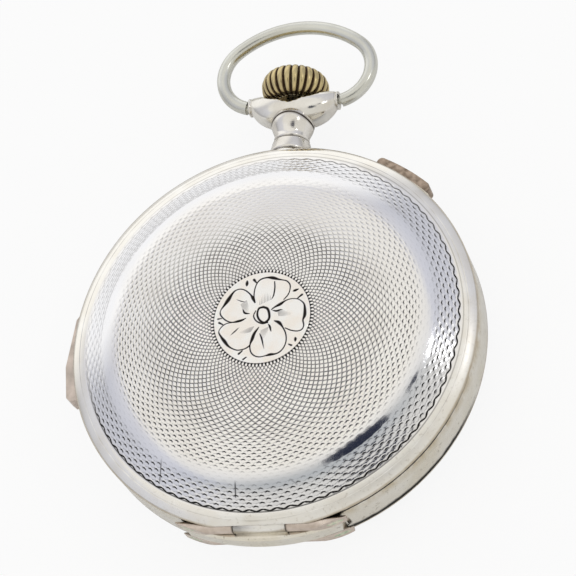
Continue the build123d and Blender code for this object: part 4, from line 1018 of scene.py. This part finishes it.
# ---- Camera ----
# It looks down on the back cover from the side of the hinge, with the pendant at the top, and stands
# REACH metres from its target.
REACH = 0.3197
target = Vector((0.90, 7.96, MIDDLE)) * MM
tilt, heading, roll = radians(30.88), radians(-58.28), radians(-31.80)
toward = Vector((sin(tilt) * cos(heading), sin(tilt) * sin(heading), cos(tilt)))
level = Vector((0, 0, 1)).cross(toward).normalized()
steep = toward.cross(level)
right = level * cos(roll) + steep * sin(roll)
up = steep * cos(roll) - level * sin(roll)
lens = bpy.data.cameras.new("camera")
lens.lens, lens.sensor_width = 147.58, 36.0
lens.clip_start, lens.clip_end = 0.01, 10.0
camera = bpy.data.objects.new("camera", lens)
camera.matrix_world = Matrix((
    (right.x, up.x, toward.x, target.x + toward.x * REACH),
    (right.y, up.y, toward.y, target.y + toward.y * REACH),
    (right.z, up.z, toward.z, target.z + toward.z * REACH), (0, 0, 0, 1)))
bpy.context.scene.collection.objects.link(camera)
bpy.context.scene.camera = camera

# ---- Floor and light ----
# A plain white table under soft studio light. The camera sees the table as white, and it keeps the
# watch's shadow. The metal sees a plainer, darker table.
form = bmesh.new()
bmesh.ops.create_grid(form, x_segments=1, y_segments=1, size=3.0)
mesh = bpy.data.meshes.new("table")
form.to_mesh(mesh)
form.free()
table = bpy.data.objects.new("table", mesh)
table.location.z = -0.0001
bpy.context.scene.collection.objects.link(table)


def rays(line, *names):
    """Lines that are 1 for these kinds of ray, in the node's own order."""
    path = line.node("ShaderNodeLightPath")
    return [Line(line.tree, s) for s in path.socket.node.outputs if s.name in names]


white, at = new_finish("white_table", Base_Color=(0.9, 0.9, 0.9, 1.0), Roughness=0.9)
camera_ray, glossy_ray, glass_ray = rays(at, "Is Camera Ray", "Is Glossy Ray", "Is Transmission Ray")
shown = camera_ray * 0.88 + glass_ray * 0.88 + glossy_ray * 0.1
ends = at.tree.nodes
lit = Line(at.tree, ends["Principled BSDF"].outputs[0])
whole = at.node("ShaderNodeMixShader", {}, {
    "Fac": shown, "Shader": lit, "Shader_001": at.node("ShaderNodeEmission")})
at.tree.links.new(whole.socket, ends["Material Output"].inputs[0])
table.data.materials.append(white)

# the studio: a dim floor, brighter toward the ceiling, and all of it white to the camera. Its front
# is turned this far round from +X
STUDIO_TURN = radians(-58.28)
world = bpy.data.worlds.new("studio")
bpy.context.scene.world = world
world.use_nodes = True
sky = Line(world.node_tree)
camera_ray, glass_ray = rays(sky, "Is Camera Ray", "Is Transmission Ray")
way = sky.node("ShaderNodeTexCoord")
height = way.node("ShaderNodeSeparateXYZ", {}, {"Vector": way}, out=2)
room = height.node("ShaderNodeValToRGB", {"stops": (
    (0.0, (0.40, 0.40, 0.41)), (0.3, (0.62, 0.63, 0.68)), (0.72, (0.72, 0.73, 0.79)),
    (0.80, (0.89, 0.88, 0.86)), (1.0, (0.92, 0.91, 0.88)))}, {"Fac": height})


def leaning(turn):
    """How far a direction leans to the studio's front, or to the side that many degrees from it."""
    turn = STUDIO_TURN + radians(turn)
    return way.node("ShaderNodeVectorMath", {"operation": "DOT_PRODUCT"},
                    {"Vector": way, "Vector_001": (cos(turn), sin(turn), 0.0)})


near, across = leaning(0), leaning(90)
# a white wall at the back, a greyer one in front, and two dark cards to give the metal its blacks
room = (near * -1.0).rise(0.66, 0.8).mixed(room, (1.08, 1.08, 1.08))
room = near.rise(0.05, 0.3).mixed(room, (0.76, 0.75, 0.72))
for forward, beside, tall, wide in ((0.33, 0.07, 0.15, 0.2), (0.21, 0.46, 0.05, 0.06)):
    tall, wide = (near - forward) / tall, (across - beside) / wide
    card = 1 - (tall * tall + wide * wide).rise(0.85, 1.1)
    room = (card * (height > 0)).mixed(room, (0.03, 0.035, 0.06))
colour = (camera_ray + glass_ray).math("MINIMUM", 1.0).mixed(room, (1.0, 1.0, 1.0))
sky.tree.links.new(colour.socket, world.node_tree.nodes["Background"].inputs["Color"])

# a small lamp for the glints and the shadow
lamp = bpy.data.lights.new("key_light", "AREA")
lamp.shape, lamp.size, lamp.energy = "DISK", 0.05, 0.06
light = bpy.data.objects.new("key_light", lamp)
light.location = (0.32, 0.11, 0.368)
light.rotation_mode = "QUATERNION"
light.rotation_quaternion = light.location.to_track_quat("Z", "Y")
bpy.context.scene.collection.objects.link(light)

bpy.context.scene.view_settings.view_transform = "Standard"
